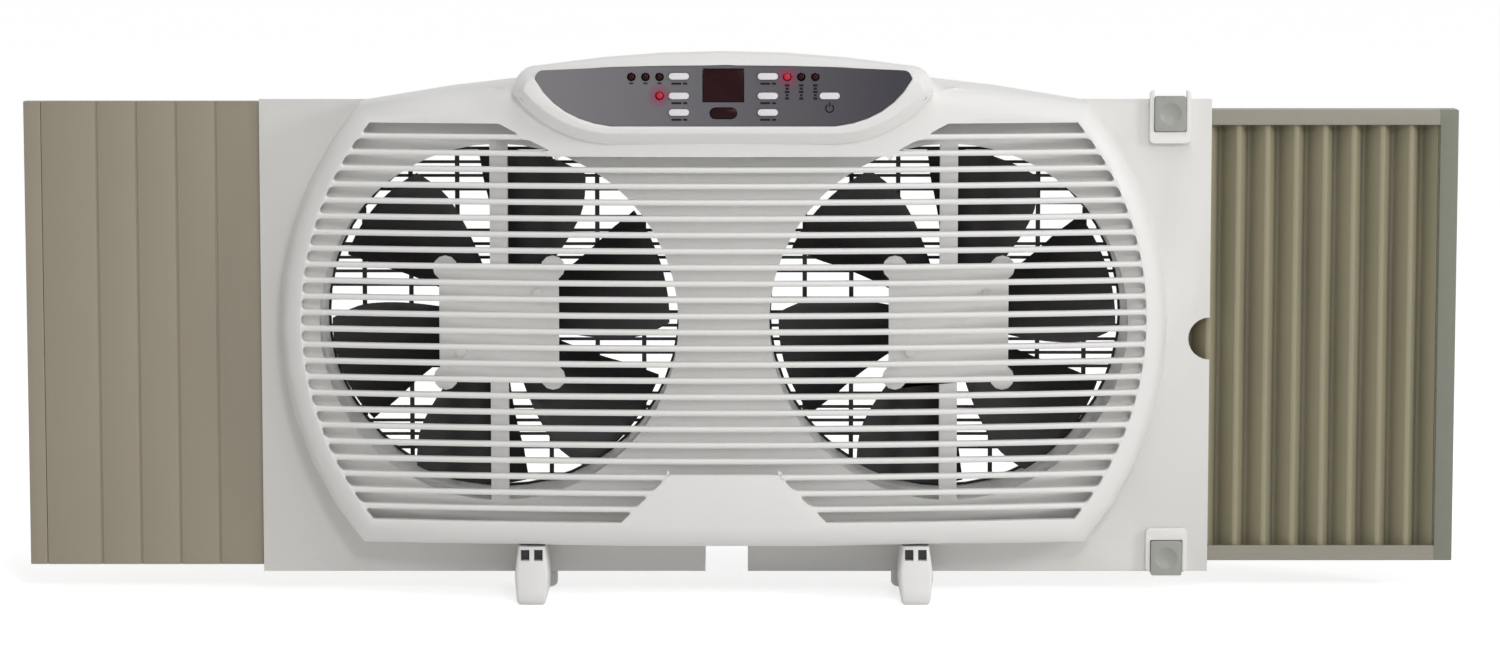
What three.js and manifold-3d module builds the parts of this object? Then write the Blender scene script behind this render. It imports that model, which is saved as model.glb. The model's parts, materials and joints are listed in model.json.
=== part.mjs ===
// Twin window fan: a bulged louvred front housing with a control pod, two ducted fans, a flanged
// rear housing that stands in a sash window, a plain filler panel on the left, a sliding frame with
// a pleated curtain on the right, two panel locks and two clip-on feet.
//
// Millimetres, +Z up. While modelling, X = 0 is midway between the fans, Y = 0 is the front face of
// the flange with the room on the minus side, and Z = 0 is the surface under the feet. The finished
// group is moved so that its bounding box is centred on X = 0 and Y = 0.

import * as THREE from 'three';
import { mergeVertices } from 'three/addons/utils/BufferGeometryUtils.js';
import Module from 'manifold-3d';

// ---------------------------------------------------------------- driving sizes

const fit = 0.3; // gap between faces that touch on the real fan
const sink = 0.5; // how far features run into the body that carries them
const past = 1; // how far a cut runs past the faces it opens
const wall = 2.5; // moulded wall of the housings

// Flange of the rear housing
const flangeLeftMargin = 14; // beyond the widest part of the front housing
const flangeRightMargin = 29;
const flangeBottomZ = 14;
const flangeHeight = 312;
const flangeThickness = 3;
const cordNotchX = 1.6;
const cordNotchWidth = 28;
const cordNotchRise = 29; // top of the notch above the flange's bottom edge
const fingerNotchRadius = 14;
const fingerNotchRise = 154.5; // its centre above the flange's bottom edge

// Fans and ducts
const axisRise = 167.5; // fan axes above the flange's bottom edge
const fanSpacing = 293; // between the two axes
const ductRadius = 117; // clear bore of each duct
const ductWall = 2.5;
const fanRoom = 26; // from the middle of the blades to the rear end of the ducts
const bladeTipGap = 6; // between the blade tips and the duct
const bladeCount = 6;
const bladePitch = 28; // degrees between a blade and the plane of the fan
const bladeThickness = 1.8;
const bladeRootHalfAngle = 30; // degrees of arc at the hub
const bladeTipHalfAngle = 24; // degrees of arc at the tip
const bladeRootSink = 4; // blades start this far inside the rim of the hub
const bladeOverreach = 8; // blades are drawn this much too long, then trimmed round
const hubRadius = 32;
const hubDepth = 24;
const hubGap = 2.9; // between the motor and the hub
const hubPostWall = 3.5; // round the shaft, inside the hub
const restAngles = { left: 132, right: 130 }; // degrees, one blade of each fan at rest

// Bulged front housing
const bodyMidHalfWidth = 290;
const bodyCornerHalfWidth = 236;
const bodyHalfHeight = 144;
const crownRise = 22; // of the arched top above its corners
const frontDepth = 58; // front face at the middle, ahead of the flange
const frontRadius = 1400; // plan curve of the front face
const edgeRadius = 14; // rounding of the front face into the sides
const slatDepth = 7;

// Louvres
const louvreRise = 2.5; // middle slot above the fan axes
const louvrePitch = 10.5;
const louvreGap = 7;
const louvreEndMargin = 14; // least distance from the middles of the end slots to the body's edge
const louvreMargin = 15; // from the side of the body to the ends of the slots
const louvreCutDepth = 48; // of each slot, from the middle of the front face
const plateTopSlots = 3; // bottom slots that stop beside the bare name panel
const plateHalfWidth = 42; // half width of that panel at its top slot
const podSlots = 2; // top slots that stop beside the control pod
const podSlotHalfWidth = 118; // inner end of the lower of those two
const podSlotStep = 20; // inner end steps out by this much on the upper one

// Fan shroud: the flat panel with the ducts, motor plates and struts
const shroudFrontY = -22.5;
const shroudInset = 13; // from the outline of the body
const shroudPostRadius = 3.5;
const shroudPostInset = 5; // from the panel's upper and lower edges
const strutWidth = 11.5;
const strutDepth = 10;
const motorPlateWidth = 78;
const motorPlateHeight = 74;
const motorPlateCorner = 10;
const earRadius = 8;
const earInsetX = 4; // ear centres, in from the sides of the motor plate
const earInsetZ = 1;

// Motors
const statorWidth = 62;
const statorHeight = 50;
const statorDepth = 16;
const statorCorner = 5;
const statorBoreRadius = 14;
const bracketWidth = 16;
const bracketThickness = 3.4;
const coilWidth = 34;
const coilHeight = 10;
const coilDepth = 20;
const coilCorner = 3;
const airGap = 0.5; // between the rotor and the stator
const rotorInset = 1; // rotor ends, in from the faces of the stator
const shaftRadius = 3;
const clipRadius = 7;
const clipThickness = 2.7;
const motorScrewRadius = 1.6;
const motorScrewInset = 6; // from the edges of the stator

// Rear grilles
const grilleLap = 2.3; // grille rim outside the bore of the duct
const grilleRim = 3.8;
const grilleThickness = 2.9;
const grilleBarPitch = 9.1;
const grilleBar = 2;
const grilleRibPitch = 31;
const grilleRib = 3;
const grilleRibDepth = 1.3;
const boxCorner = 14; // rounded corners of the rear housing's box

// Control pod on top of the front housing; depths and drops are measured from its front and crown
const podRise = 11.5; // crown of the pod above the crown of the body
const podProud = 8; // front of the pod ahead of the front face
const podDepth = 46;
const podShape = {
  half: 135, shoulderDrop: 9, height: 58, keelHalf: 75, bilgeX: 112, bilgeRise: 3, round: 17,
};
const podSlope = 7; // inset of the pod's front rim from its foot
const podSlopeDepth = 8;
const fasciaDrop = 7.4; // crown of the fascia below the crown of the pod
const fasciaShape = {
  half: 120.4, shoulderDrop: 3, height: 38.6, keelHalf: 72, bilgeX: 106, bilgeRise: 4, round: 6,
};
const fasciaPocket = 3; // depth of the seat cut in the pod
const fasciaRecess = 0.6; // fascia face behind the rim
const fasciaThickness = 2.1;
const fasciaLedge = 2.5; // width of the seat under the fascia
const boardSetBack = 8; // front face of the control board behind the pod's front
const boardThickness = 1.6;
const boardHalfWidth = 94;
const boardTopDrop = 13;
const boardHeight = 28;
const boardPostInset = 5; // posts of the fascia, in from the ends of the board
const boardPostRadius = 3;

// Buttons, lamps and windows on the fascia
const buttonWidth = 13;
const buttonHeight = 4.2;
const buttonProud = 1.2; // cap ahead of the fascia
const buttonFlange = 0.7; // lip round the cap, behind the fascia
const buttonLip = 1; // thickness of that lip
const buttonTravel = 0.7;
const switchGap = 0.2; // between a pressed button and its switch
const switchSize = 6;
const buttonFromWindow = 15.3; // middle of the button columns from the side of the display
const powerFromColumn = 39.6; // power button from the right column
const buttonDrops = { top: 14.2, middle: 26.7, bottom: 37.3 };
const lampRadius = 2.4;
const lampDome = 1.6; // height of a lamp's domed end
const lampProud = 0.4; // dome ahead of the fascia
const lampPitch = 9;
const lampFromColumn = 12.4; // first lamp from the middle of the buttons
const lampDrop = 14.6;
const displayWidth = 26.2;
const displayHeight = 21.2;
const displayDrop = 20;
const moduleInset = 2; // display module, in from the edges of its window
const windowRecess = 0.2; // windows behind the fascia's face
const windowThickness = 1.6;
const receiverWidth = 17.4;
const receiverHeight = 7.1;
const receiverDrop = 37.9;
const receiverBlockWidth = 6;
const receiverBlockHeight = 5;

// Left filler panel
const panelOuterX = 458.5; // outer end, left of the middle
const panelTrimWidth = 11.2;
const panelEngaged = 20; // length held behind the flange
const panelThickness = 8;
const panelBottomInset = 4; // inside the flange's bottom edge
const panelTopInset = 1.6;
const grooveFirst = 36.3; // from the trim to the first groove
const groovePitch = 26;
const grooveCount = 4;
const grooveDepth = 0.8;
const grooveWidth = 1.6;
const pocketBackThickness = 2;
const pocketMargin = 26; // pocket back, in from the flange's top and bottom

// Right sliding frame and its pleated curtain
const frameOuterX = 481;
const frameStripWidth = 12;
const railHeight = 10;
const railBottomInset = 6.5; // inside the flange's bottom edge
const railTopInset = 7.2;
const railDepth = 18;
const railEndGap = 9.9; // inner ends of the rails from the rear housing's box
const railGap = 0.4; // above, below and before each rail
const railGrooveDepth = 3;
const curtainLip = 2.3; // length of curtain held in each rail
const curtainDepth = 12;
const curtainSideGap = 0.5; // in the groove, before and behind the curtain
const curtainThickness = 1;
const pleatCount = 10.5;
const channelWall = 2;

// Panel locks on the right of the flange
const lockFromEdge = 27.5; // middle of the locks from the flange's right edge
const lockWidth = 27;
const lockFrameDepth = 4.7;
const lockFrameSide = 3;
const lockFrameEnd = 8; // bar of the surround behind the tab
const lockFrameCorner = 3;
const lockUpperReach = 6; // surround beyond the flange's top edge
const lockLowerReach = 2; // tab beyond the flange's bottom edge
const lockTabRise = 2.3; // upper tab beyond the flange's top edge
const lockTabHeight = 23;
const lockTabDepth = 6;
const lockTabCorner = 1.5;
const lockTravel = 4;
const lockDishRadius = 14;
const lockDishDepth = 2;
const lockStemWidth = 8;
const lockStemHeight = 8;

// Clip-on feet
const footX = 125;
const footFrontWidth = 22;
const footHeelWidth = 28;
const footSetBack = 4; // front of each foot behind the middle of the front face
const footLength = 96;
const footToeHeight = 5;
const footToeRun = 2;
const footNeckSetBack = 10; // front of the neck behind the front of the foot
const footNeckDepth = 32;
const footHeelHeight = 12;
const footHeelSlope = { run: 8, rise: 6 };
const footHeelRound = 6; // the straight part stops this far short of the round heel
const footSlotWidth = 6.4;
const footSlotHeight = 7;
const footSlotShift = 1.5; // slots lie this much nearer each other than the tongues
const footSlotDrop = 2; // below the top of the neck
const tongueWidth = 6;
const tongueThickness = 3;
const tongueHeight = 8;
const tongueSpacing = 13;

// Fasteners and the cord gland
const bossRadius = 4.5;
const screwHoleRadius = 1.7;
const screwRadius = 1.3;
const screwLength = 12; // of thread ahead of the flange
const screwCapDepth = 6; // solid front end of each boss
const screwHeadRadius = 3.6;
const screwHeadHeight = 2.5;
const topScrewX = 150;
const topScrewRise = 6.5; // above the upper corners of the body
const bottomScrewX = 195;
const bottomScrewRise = 7.5; // above the bottom of the body
const glandRadius = 6.5;
const glandBoreRadius = 3.5;
const glandFlangeRadius = 9;
const glandFlangeThickness = 3;
const glandStem = 4; // beyond the wall and beyond the flange of the gland
const glandFromBack = 20; // in from the rear face

// ---------------------------------------------------------------- sizes that follow

const axisZ = flangeBottomZ + axisRise;
const bodyZ = axisZ; // middle of the bulged body
const bodyBottomZ = bodyZ - bodyHalfHeight;
const sideSagitta = bodyMidHalfWidth - bodyCornerHalfWidth;
const sideRadius = (bodyHalfHeight ** 2 + sideSagitta ** 2) / (2 * sideSagitta);
const sideCentreX = bodyMidHalfWidth - sideRadius;
const flangeTopZ = flangeBottomZ + flangeHeight;
const flangeLeft = bodyMidHalfWidth + flangeLeftMargin;
const flangeRight = bodyMidHalfWidth + flangeRightMargin;

const louvreCentreZ = axisZ + louvreRise;
const louvresEachWay = Math.floor((bodyHalfHeight - louvreEndMargin) / louvrePitch);

const bladeTipRadius = ductRadius - bladeTipGap;
const ductOuter = ductRadius + ductWall;
const grilleRadius = ductRadius + grilleLap;
const boxHalfWidth = fanSpacing / 2 + ductOuter + 2 * fit + wall;
const boxHalfHeight = ductOuter + 2 * fit + wall;

const shroudBackY = shroudFrontY + wall;
const statorFrontY = shroudBackY + fit + bracketThickness;
const statorBackY = statorFrontY + statorDepth;
const motorBackY = statorBackY + bracketThickness;
const rotorRadius = statorBoreRadius - airGap;
const hubFrontY = motorBackY + hubGap;
const hubBackY = hubFrontY + hubDepth;
const bladeMidY = (hubFrontY + hubBackY) / 2;
const ductBackY = bladeMidY + fanRoom;
const grilleFrontY = ductBackY + fit;
const grilleBackY = grilleFrontY + grilleThickness;
const rearWallY = grilleBackY + fit;
const rearDepth = rearWallY + wall;

const podFrontY = -frontDepth - podProud;
const podBackY = podFrontY + podDepth;
const podCrownZ = bodyZ + bodyHalfHeight + crownRise + podRise;
const fasciaFrontY = podFrontY + fasciaRecess;
const fasciaBackY = fasciaFrontY + fasciaThickness;
const buttonFrontY = fasciaFrontY - buttonProud;
const buttonLipY = fasciaBackY + fit;
const buttonBackY = buttonLipY + buttonLip;
const switchFrontY = buttonBackY + buttonTravel + switchGap;
const boardY = podFrontY + boardSetBack;
const boardTopZ = podCrownZ - boardTopDrop;
const boardBottomZ = boardTopZ - boardHeight;
const buttonColumnX = displayWidth / 2 + buttonFromWindow;
const lampFirstX = buttonColumnX + lampFromColumn;
const displayZ = podCrownZ - displayDrop;
const receiverZ = podCrownZ - receiverDrop;

const panelFrontY = flangeThickness + railGap;
const panelBackY = panelFrontY + panelThickness;
const panelBottomZ = flangeBottomZ + panelBottomInset;
const panelTopZ = flangeTopZ - panelTopInset;
const railFrontY = flangeThickness + railGap;
const railBackY = railFrontY + railDepth;
const railBottomZ = flangeBottomZ + railBottomInset;
const railTopZ = flangeTopZ - railTopInset;
const railInnerX = boxHalfWidth + railEndGap;
const channelBackY = railBackY + railGap;
const lockX = flangeRight - lockFromEdge;

// ---------------------------------------------------------------- solids

const wasm = await Module();
wasm.setup();

const smooth = 48; // sides of the large round parts
const medium = 24;
const small = 12;
const tiny = 8;
const lampDomeSteps = 3;

function solid(geometry) {
  geometry.deleteAttribute('normal');
  geometry.deleteAttribute('uv');
  const merged = mergeVertices(geometry, 1e-4);
  return new wasm.Manifold(new wasm.Mesh({
    numProp: 3,
    vertProperties: new Float32Array(merged.attributes.position.array),
    triVerts: new Uint32Array(merged.index.array),
  }));
}

function geometryOf(body) {
  const mesh = body.getMesh();
  const geometry = new THREE.BufferGeometry();
  geometry.setAttribute('position', new THREE.BufferAttribute(new Float32Array(mesh.vertProperties), 3));
  geometry.setIndex(new THREE.BufferAttribute(new Uint32Array(mesh.triVerts), 1));
  geometry.computeVertexNormals();
  return geometry;
}

function joined(bodies) {
  return bodies.reduce((whole, body) => whole.add(body));
}

// A box from pairs of limits.
function block(x, y, z) {
  const geometry = new THREE.BoxGeometry(x[1] - x[0], y[1] - y[0], z[1] - z[0]);
  geometry.translate((x[0] + x[1]) / 2, (y[0] + y[1]) / 2, (z[0] + z[1]) / 2);
  return solid(geometry);
}

// A round bar along Y.
function bar(radius, y, x, z, sides = medium) {
  const geometry = new THREE.CylinderGeometry(radius, radius, y[1] - y[0], sides);
  geometry.translate(x, (y[0] + y[1]) / 2, z);
  return solid(geometry);
}

// An outline in X and Z, extruded along Y between two limits.
function plate(shape, y, options = {}) {
  const bevel = options.bevelThickness ?? 0;
  const geometry = new THREE.ExtrudeGeometry(shape, {
    depth: y[1] - y[0] - 2 * bevel,
    bevelEnabled: bevel > 0,
    curveSegments: 3,
    ...options,
  });
  const turn = new THREE.Matrix4().makeBasis(
    new THREE.Vector3(1, 0, 0), new THREE.Vector3(0, 0, 1), new THREE.Vector3(0, -1, 0));
  geometry.applyMatrix4(turn);
  geometry.translate(0, y[1] - bevel, 0);
  return solid(geometry);
}

// An outline in Y and Z, extruded along X between two limits.
function section(shape, x) {
  const geometry = new THREE.ExtrudeGeometry(shape, { depth: x[1] - x[0], bevelEnabled: false, ...fine });
  const turn = new THREE.Matrix4().makeBasis(
    new THREE.Vector3(0, 1, 0), new THREE.Vector3(0, 0, 1), new THREE.Vector3(1, 0, 0));
  geometry.applyMatrix4(turn);
  geometry.translate(x[0], 0, 0);
  return solid(geometry);
}

function polygon(points) {
  return new THREE.Shape(points.map(([a, b]) => new THREE.Vector2(a, b)));
}

function roundedRectangle(x, z, radius) {
  const shape = new THREE.Shape();
  shape.moveTo(x[0] + radius, z[0]);
  shape.lineTo(x[1] - radius, z[0]);
  shape.absarc(x[1] - radius, z[0] + radius, radius, -Math.PI / 2, 0);
  shape.lineTo(x[1], z[1] - radius);
  shape.absarc(x[1] - radius, z[1] - radius, radius, 0, Math.PI / 2);
  shape.lineTo(x[0] + radius, z[1]);
  shape.absarc(x[0] + radius, z[1] - radius, radius, Math.PI / 2, Math.PI);
  shape.lineTo(x[0], z[0] + radius);
  shape.absarc(x[0] + radius, z[0] + radius, radius, Math.PI, 1.5 * Math.PI);
  return shape;
}

function pill(x, z, width, height) {
  const radius = height / 2;
  const half = width / 2 - radius;
  const shape = new THREE.Shape();
  shape.moveTo(x - half, z - radius);
  shape.absarc(x + half, z, radius, -Math.PI / 2, Math.PI / 2);
  shape.absarc(x - half, z, radius, Math.PI / 2, 1.5 * Math.PI);
  return shape;
}

// ---------------------------------------------------------------- bulged body

const sideSteps = 5;
const acrossSteps = 8;

function frontY(x) {
  return -frontDepth + x ** 2 / (2 * frontRadius);
}

// The outline, inset by a distance, as columns from the right end to the left end.
function bodyColumns(inset, crown) {
  const radius = sideRadius - inset;
  const halfHeight = bodyHalfHeight - inset;
  const cornerAngle = Math.asin(halfHeight / radius);
  const cornerX = sideCentreX + radius * Math.cos(cornerAngle);
  const right = [];
  for (let step = 0; step <= sideSteps; step++) {
    const angle = (cornerAngle * step) / sideSteps;
    const height = radius * Math.sin(angle);
    right.push({ x: sideCentreX + radius * Math.cos(angle), up: height, down: -height });
  }
  const across = [];
  for (let step = 1; step < acrossSteps; step++) {
    const x = cornerX * (1 - (2 * step) / acrossSteps);
    across.push({ x, up: halfHeight + crown * (1 - (x / cornerX) ** 2), down: -halfHeight });
  }
  const left = right.map(({ x, up, down }) => ({ x: -x, up, down })).reverse();
  return [...right, ...across, ...left];
}

// One closed ring of points round the outline; depthAt gives Y from X.
function bodyRing(inset, depthAt, crown = crownRise) {
  const columns = bodyColumns(inset, crown);
  const upper = columns.map(({ x, up }) => [x, depthAt(x), bodyZ + up]);
  const lower = columns.slice(1, -1).map(({ x, down }) => [x, depthAt(x), bodyZ + down]).reverse();
  return [...upper, ...lower];
}

// A closed solid through rings of equal count, from the front ring to the back ring.
function loft(rings) {
  const count = rings[0].length;
  const columns = count / 2 + 1;
  const lowerIndex = (column) => (column === 0 ? 0 : column === columns - 1 ? columns - 1 : count - column);
  const index = [];
  for (let ring = 0; ring + 1 < rings.length; ring++) {
    for (let i = 0; i < count; i++) {
      const next = (i + 1) % count;
      const [a, b] = [ring * count + i, ring * count + next];
      index.push(a, a + count, b, b, a + count, b + count);
    }
  }
  const back = (rings.length - 1) * count;
  for (let column = 0; column + 1 < columns; column++) {
    const [u, v] = [column, column + 1];
    const [m, n] = [lowerIndex(column), lowerIndex(column + 1)];
    if (v !== n) {
      index.push(u, v, n);
      index.push(back + u, back + n, back + v);
    }
    if (u !== m) {
      index.push(u, n, m);
      index.push(back + u, back + m, back + n);
    }
  }
  const geometry = new THREE.BufferGeometry();
  geometry.setAttribute('position', new THREE.Float32BufferAttribute(rings.flat(2), 3));
  geometry.setIndex(index);
  return solid(geometry);
}

// The bulged form, inset all round, with its front set back and its edge rounded.
function bulge(inset, setBack, radius, backY) {
  const rings = [];
  const roundSteps = 3;
  for (let step = 0; step <= roundSteps; step++) {
    const angle = (Math.PI / 2) * (step / roundSteps);
    const drop = setBack + radius * (1 - Math.cos(angle));
    rings.push(bodyRing(inset + radius * (1 - Math.sin(angle)), (x) => frontY(x) + drop));
  }
  rings.push(bodyRing(inset, () => backY));
  return loft(rings);
}

function bodyPlate(inset, y, crown) {
  return loft([bodyRing(inset, () => y[0], crown), bodyRing(inset, () => y[1], crown)]);
}

// ---------------------------------------------------------------- control pod outline

const fine = { curveSegments: 6 };
const coarse = { curveSegments: 4 };

function boatOutline(shape, crownZ) {
  return { ...shape, crownZ, shoulderZ: crownZ - shape.shoulderDrop, keelZ: crownZ - shape.height };
}

const podOutline = boatOutline(podShape, podCrownZ);
const fasciaOutline = boatOutline(fasciaShape, podCrownZ - fasciaDrop);

// A boat-like outline: flat keel, rising sides, rounded shoulders and an arched top.
function boat(outline, inset = 0) {
  const { bilgeX, bilgeRise } = outline;
  const half = outline.half - inset;
  const keelHalf = outline.keelHalf - inset / 2;
  const keel = outline.keelZ + inset;
  const shoulder = outline.shoulderZ - inset;
  const crown = outline.crownZ - inset;
  const round = outline.round - inset / 2;
  const shape = new THREE.Shape();
  shape.moveTo(-keelHalf, keel);
  shape.lineTo(keelHalf, keel);
  shape.quadraticCurveTo(bilgeX - inset / 2, keel + bilgeRise, half, shoulder - round);
  shape.quadraticCurveTo(half, shoulder, half - round, shoulder);
  shape.quadraticCurveTo(0, 2 * crown - shoulder, round - half, shoulder);
  shape.quadraticCurveTo(-half, shoulder, -half, shoulder - round);
  shape.quadraticCurveTo(inset / 2 - bilgeX, keel + bilgeRise, -keelHalf, keel);
  return shape;
}

// ---------------------------------------------------------------- front housing

function slotHalfWidth(z) {
  const radius = sideRadius - louvreMargin;
  return sideCentreX + Math.sqrt(radius ** 2 - (z - louvreCentreZ) ** 2);
}

// Inner end of a slot that is interrupted, or 0 for one that runs right across.
function slotInnerEnd(row, z) {
  const podRow = louvresEachWay - podSlots + 1;
  const plateRow = plateTopSlots - 1 - louvresEachWay;
  if (row >= podRow) {
    return podSlotHalfWidth + ((z - louvreCentreZ) / louvrePitch - podRow) * podSlotStep;
  }
  if (row <= plateRow) {
    return plateHalfWidth + (plateRow * louvrePitch - (z - louvreCentreZ));
  }
  return 0;
}

function louvreSlots() {
  const cutY = [podFrontY - past, louvreCutDepth - frontDepth];
  const slots = [];
  for (let row = -louvresEachWay; row <= louvresEachWay; row++) {
    const low = louvreCentreZ + row * louvrePitch - louvreGap / 2;
    const high = low + louvreGap;
    const [lowEnd, highEnd] = [slotHalfWidth(low), slotHalfWidth(high)];
    const [lowInner, highInner] = [slotInnerEnd(row, low), slotInnerEnd(row, high)];
    if (lowInner === 0) {
      slots.push(plate(polygon([[-lowEnd, low], [lowEnd, low], [highEnd, high], [-highEnd, high]]), cutY));
    } else {
      const right = [[lowInner, low], [lowEnd, low], [highEnd, high], [highInner, high]];
      const left = right.map(([x, z]) => [-x, z]).reverse();
      slots.push(plate(polygon(right), cutY));
      slots.push(plate(polygon(left), cutY));
    }
  }
  return joined(slots);
}

const topScrewZ = bodyZ + bodyHalfHeight + topScrewRise;
const bottomScrewZ = bodyBottomZ + bottomScrewRise;
const screwSpots = {
  top_left: { x: -topScrewX, z: topScrewZ },
  top_right: { x: topScrewX, z: topScrewZ },
  bottom_left: { x: -bottomScrewX, z: bottomScrewZ },
  bottom_right: { x: bottomScrewX, z: bottomScrewZ },
};

function frontHousing() {
  const slope = { bevelThickness: podSlopeDepth, bevelSize: podSlope, bevelOffset: -podSlope };
  const pod = plate(boat(podOutline), [podFrontY, podBackY], { ...fine, ...slope, bevelSegments: 1 });
  const outer = bulge(0, 0, edgeRadius, -fit).add(pod);
  const inner = bulge(wall, slatDepth, edgeRadius - wall - slatDepth, past);
  const podRoomY = [podFrontY + fasciaPocket + wall, podBackY + wall];
  const podRoom = plate(boat(podOutline, podSlope + wall), podRoomY, fine);
  const podHigh = plate(boat(podOutline, podSlope - wall), [boardY - wall, podBackY - podSlopeDepth], fine);
  const seat = plate(boat(fasciaOutline, -fit), [podFrontY - past, podFrontY + fasciaPocket], fine);
  const window = plate(boat(fasciaOutline, fasciaLedge), [podFrontY, boardY], fine);
  let shell = outer.subtract(inner).subtract(podRoom).subtract(podHigh).subtract(seat).subtract(window);
  shell = shell.subtract(louvreSlots());
  for (const { x, z } of Object.values(screwSpots)) {
    const startY = frontY(x) + slatDepth - sink;
    shell = shell.add(bar(bossRadius, [startY, -fit], x, z, small));
    shell = shell.subtract(bar(screwHoleRadius, [startY + screwCapDepth, past], x, z, small));
  }
  for (const side of [-1, 1]) {
    for (const tongue of [-1, 1]) {
      shell = shell.subtract(tongueSpace(side, tongue, fit));
    }
  }
  return shell;
}

// ---------------------------------------------------------------- fan shroud

function shroud() {
  const panel = bodyPlate(shroudInset, [shroudFrontY, shroudBackY], 0);
  let body = panel;
  for (const side of [-1, 1]) {
    const x = (side * fanSpacing) / 2;
    body = body.add(bar(ductOuter, [shroudFrontY + sink, ductBackY], x, axisZ, smooth));
  }
  for (const side of [-1, 1]) {
    const x = (side * fanSpacing) / 2;
    body = body.subtract(bar(ductRadius, [shroudFrontY - past, ductBackY + past], x, axisZ, smooth));
  }
  for (const side of [-1, 1]) {
    body = body.add(motorPlate((side * fanSpacing) / 2));
  }
  const postZ = bodyHalfHeight - shroudInset - shroudPostInset;
  for (const x of [-fanSpacing / 3, fanSpacing / 3]) {
    for (const z of [bodyZ - postZ, bodyZ + postZ]) {
      body = body.add(bar(shroudPostRadius, [shroudBackY - sink, -fit], x, z, small));
    }
  }
  return body;
}

// The plate that carries one motor, with its four ears and the struts above and below it.
function motorPlate(x) {
  const y = [shroudFrontY, shroudBackY];
  const width = [x - motorPlateWidth / 2, x + motorPlateWidth / 2];
  const height = [axisZ - motorPlateHeight / 2, axisZ + motorPlateHeight / 2];
  let body = plate(roundedRectangle(width, height, motorPlateCorner), y);
  const reach = ductRadius + ductWall / 2;
  const strutX = [x - strutWidth / 2, x + strutWidth / 2];
  const strutY = [shroudFrontY, shroudFrontY + strutDepth];
  body = body.add(block(strutX, strutY, [height[1] - sink, axisZ + reach]));
  body = body.add(block(strutX, strutY, [axisZ - reach, height[0] + sink]));
  const earX = motorPlateWidth / 2 - earInsetX;
  const earZ = motorPlateHeight / 2 - earInsetZ;
  for (const dx of [-earX, earX]) {
    for (const dz of [-earZ, earZ]) {
      body = body.add(bar(earRadius, y, x + dx, axisZ + dz, small));
    }
  }
  for (const way of [-1, 1]) {
    const screw = motorScrewSpot(x, way);
    body = body.subtract(bar(motorScrewRadius + fit, [y[0] - past, y[1] + past], screw.x, screw.z, small));
  }
  return body;
}

// ---------------------------------------------------------------- motors and fans

function motorScrewSpot(x, way) {
  const reachX = statorWidth / 2 - motorScrewInset;
  const reachZ = statorHeight / 2 - motorScrewInset;
  return { x: x + way * reachX, z: axisZ + way * reachZ };
}

// Laminated stator with the bearing brackets across its front and back.
function motor(x) {
  const width = [x - statorWidth / 2, x + statorWidth / 2];
  const height = [axisZ - statorHeight / 2, axisZ + statorHeight / 2];
  let body = plate(roundedRectangle(width, height, statorCorner), [statorFrontY, statorBackY]);
  const through = [statorFrontY - past, statorBackY + past];
  body = body.subtract(bar(statorBoreRadius, through, x, axisZ));
  const across = [axisZ - bracketWidth / 2, axisZ + bracketWidth / 2];
  body = body.add(block(width, [statorFrontY - bracketThickness, statorFrontY + sink], across));
  body = body.add(block(width, [statorBackY - sink, motorBackY], across));
  body = body.subtract(bar(shaftRadius + fit, [shroudBackY, motorBackY + past], x, axisZ, small));
  for (const way of [-1, 1]) {
    const screw = motorScrewSpot(x, way);
    body = body.subtract(bar(motorScrewRadius + fit, through, screw.x, screw.z, small));
  }
  return body;
}

function motorCoil(x) {
  const midY = (statorFrontY + statorBackY) / 2;
  const top = axisZ - statorHeight / 2 - fit;
  const width = [x - coilWidth / 2, x + coilWidth / 2];
  const y = [midY - coilDepth / 2, midY + coilDepth / 2];
  return plate(roundedRectangle(width, [top - coilHeight, top], coilCorner), y);
}

function motorScrew(x, way) {
  const { x: screwX, z } = motorScrewSpot(x, way);
  const headBackY = shroudFrontY - fit;
  const shank = bar(motorScrewRadius, [headBackY - sink, statorBackY - fit], screwX, z, small);
  return shank.add(bar(screwHeadRadius, [headBackY - screwHeadHeight, headBackY], screwX, z, small));
}

function rotorShaft(x) {
  const rotor = bar(rotorRadius, [statorFrontY + rotorInset, statorBackY - rotorInset], x, axisZ);
  const shaft = bar(shaftRadius, [shroudBackY + rotorInset, hubBackY + clipThickness], x, axisZ, small);
  return rotor.add(shaft);
}

// One flat blade, drawn as a sector that widens outwards, then pitched about its own radius.
function blade(x, angle) {
  const root = THREE.MathUtils.degToRad(bladeRootHalfAngle);
  const tip = THREE.MathUtils.degToRad(bladeTipHalfAngle);
  const reach = bladeTipRadius + bladeOverreach;
  const inner = hubRadius - bladeRootSink;
  const shape = new THREE.Shape();
  shape.moveTo(inner * Math.cos(root), -inner * Math.sin(root));
  shape.absarc(0, 0, reach, -tip, tip, false);
  shape.lineTo(inner * Math.cos(root), inner * Math.sin(root));
  const options = { depth: bladeThickness, bevelEnabled: false, ...fine };
  const geometry = new THREE.ExtrudeGeometry(shape, options);
  geometry.translate(0, 0, -bladeThickness / 2);
  geometry.rotateX(Math.PI / 2 - THREE.MathUtils.degToRad(bladePitch));
  geometry.rotateY(-THREE.MathUtils.degToRad(angle));
  geometry.translate(x, bladeMidY, axisZ);
  return solid(geometry);
}

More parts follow.
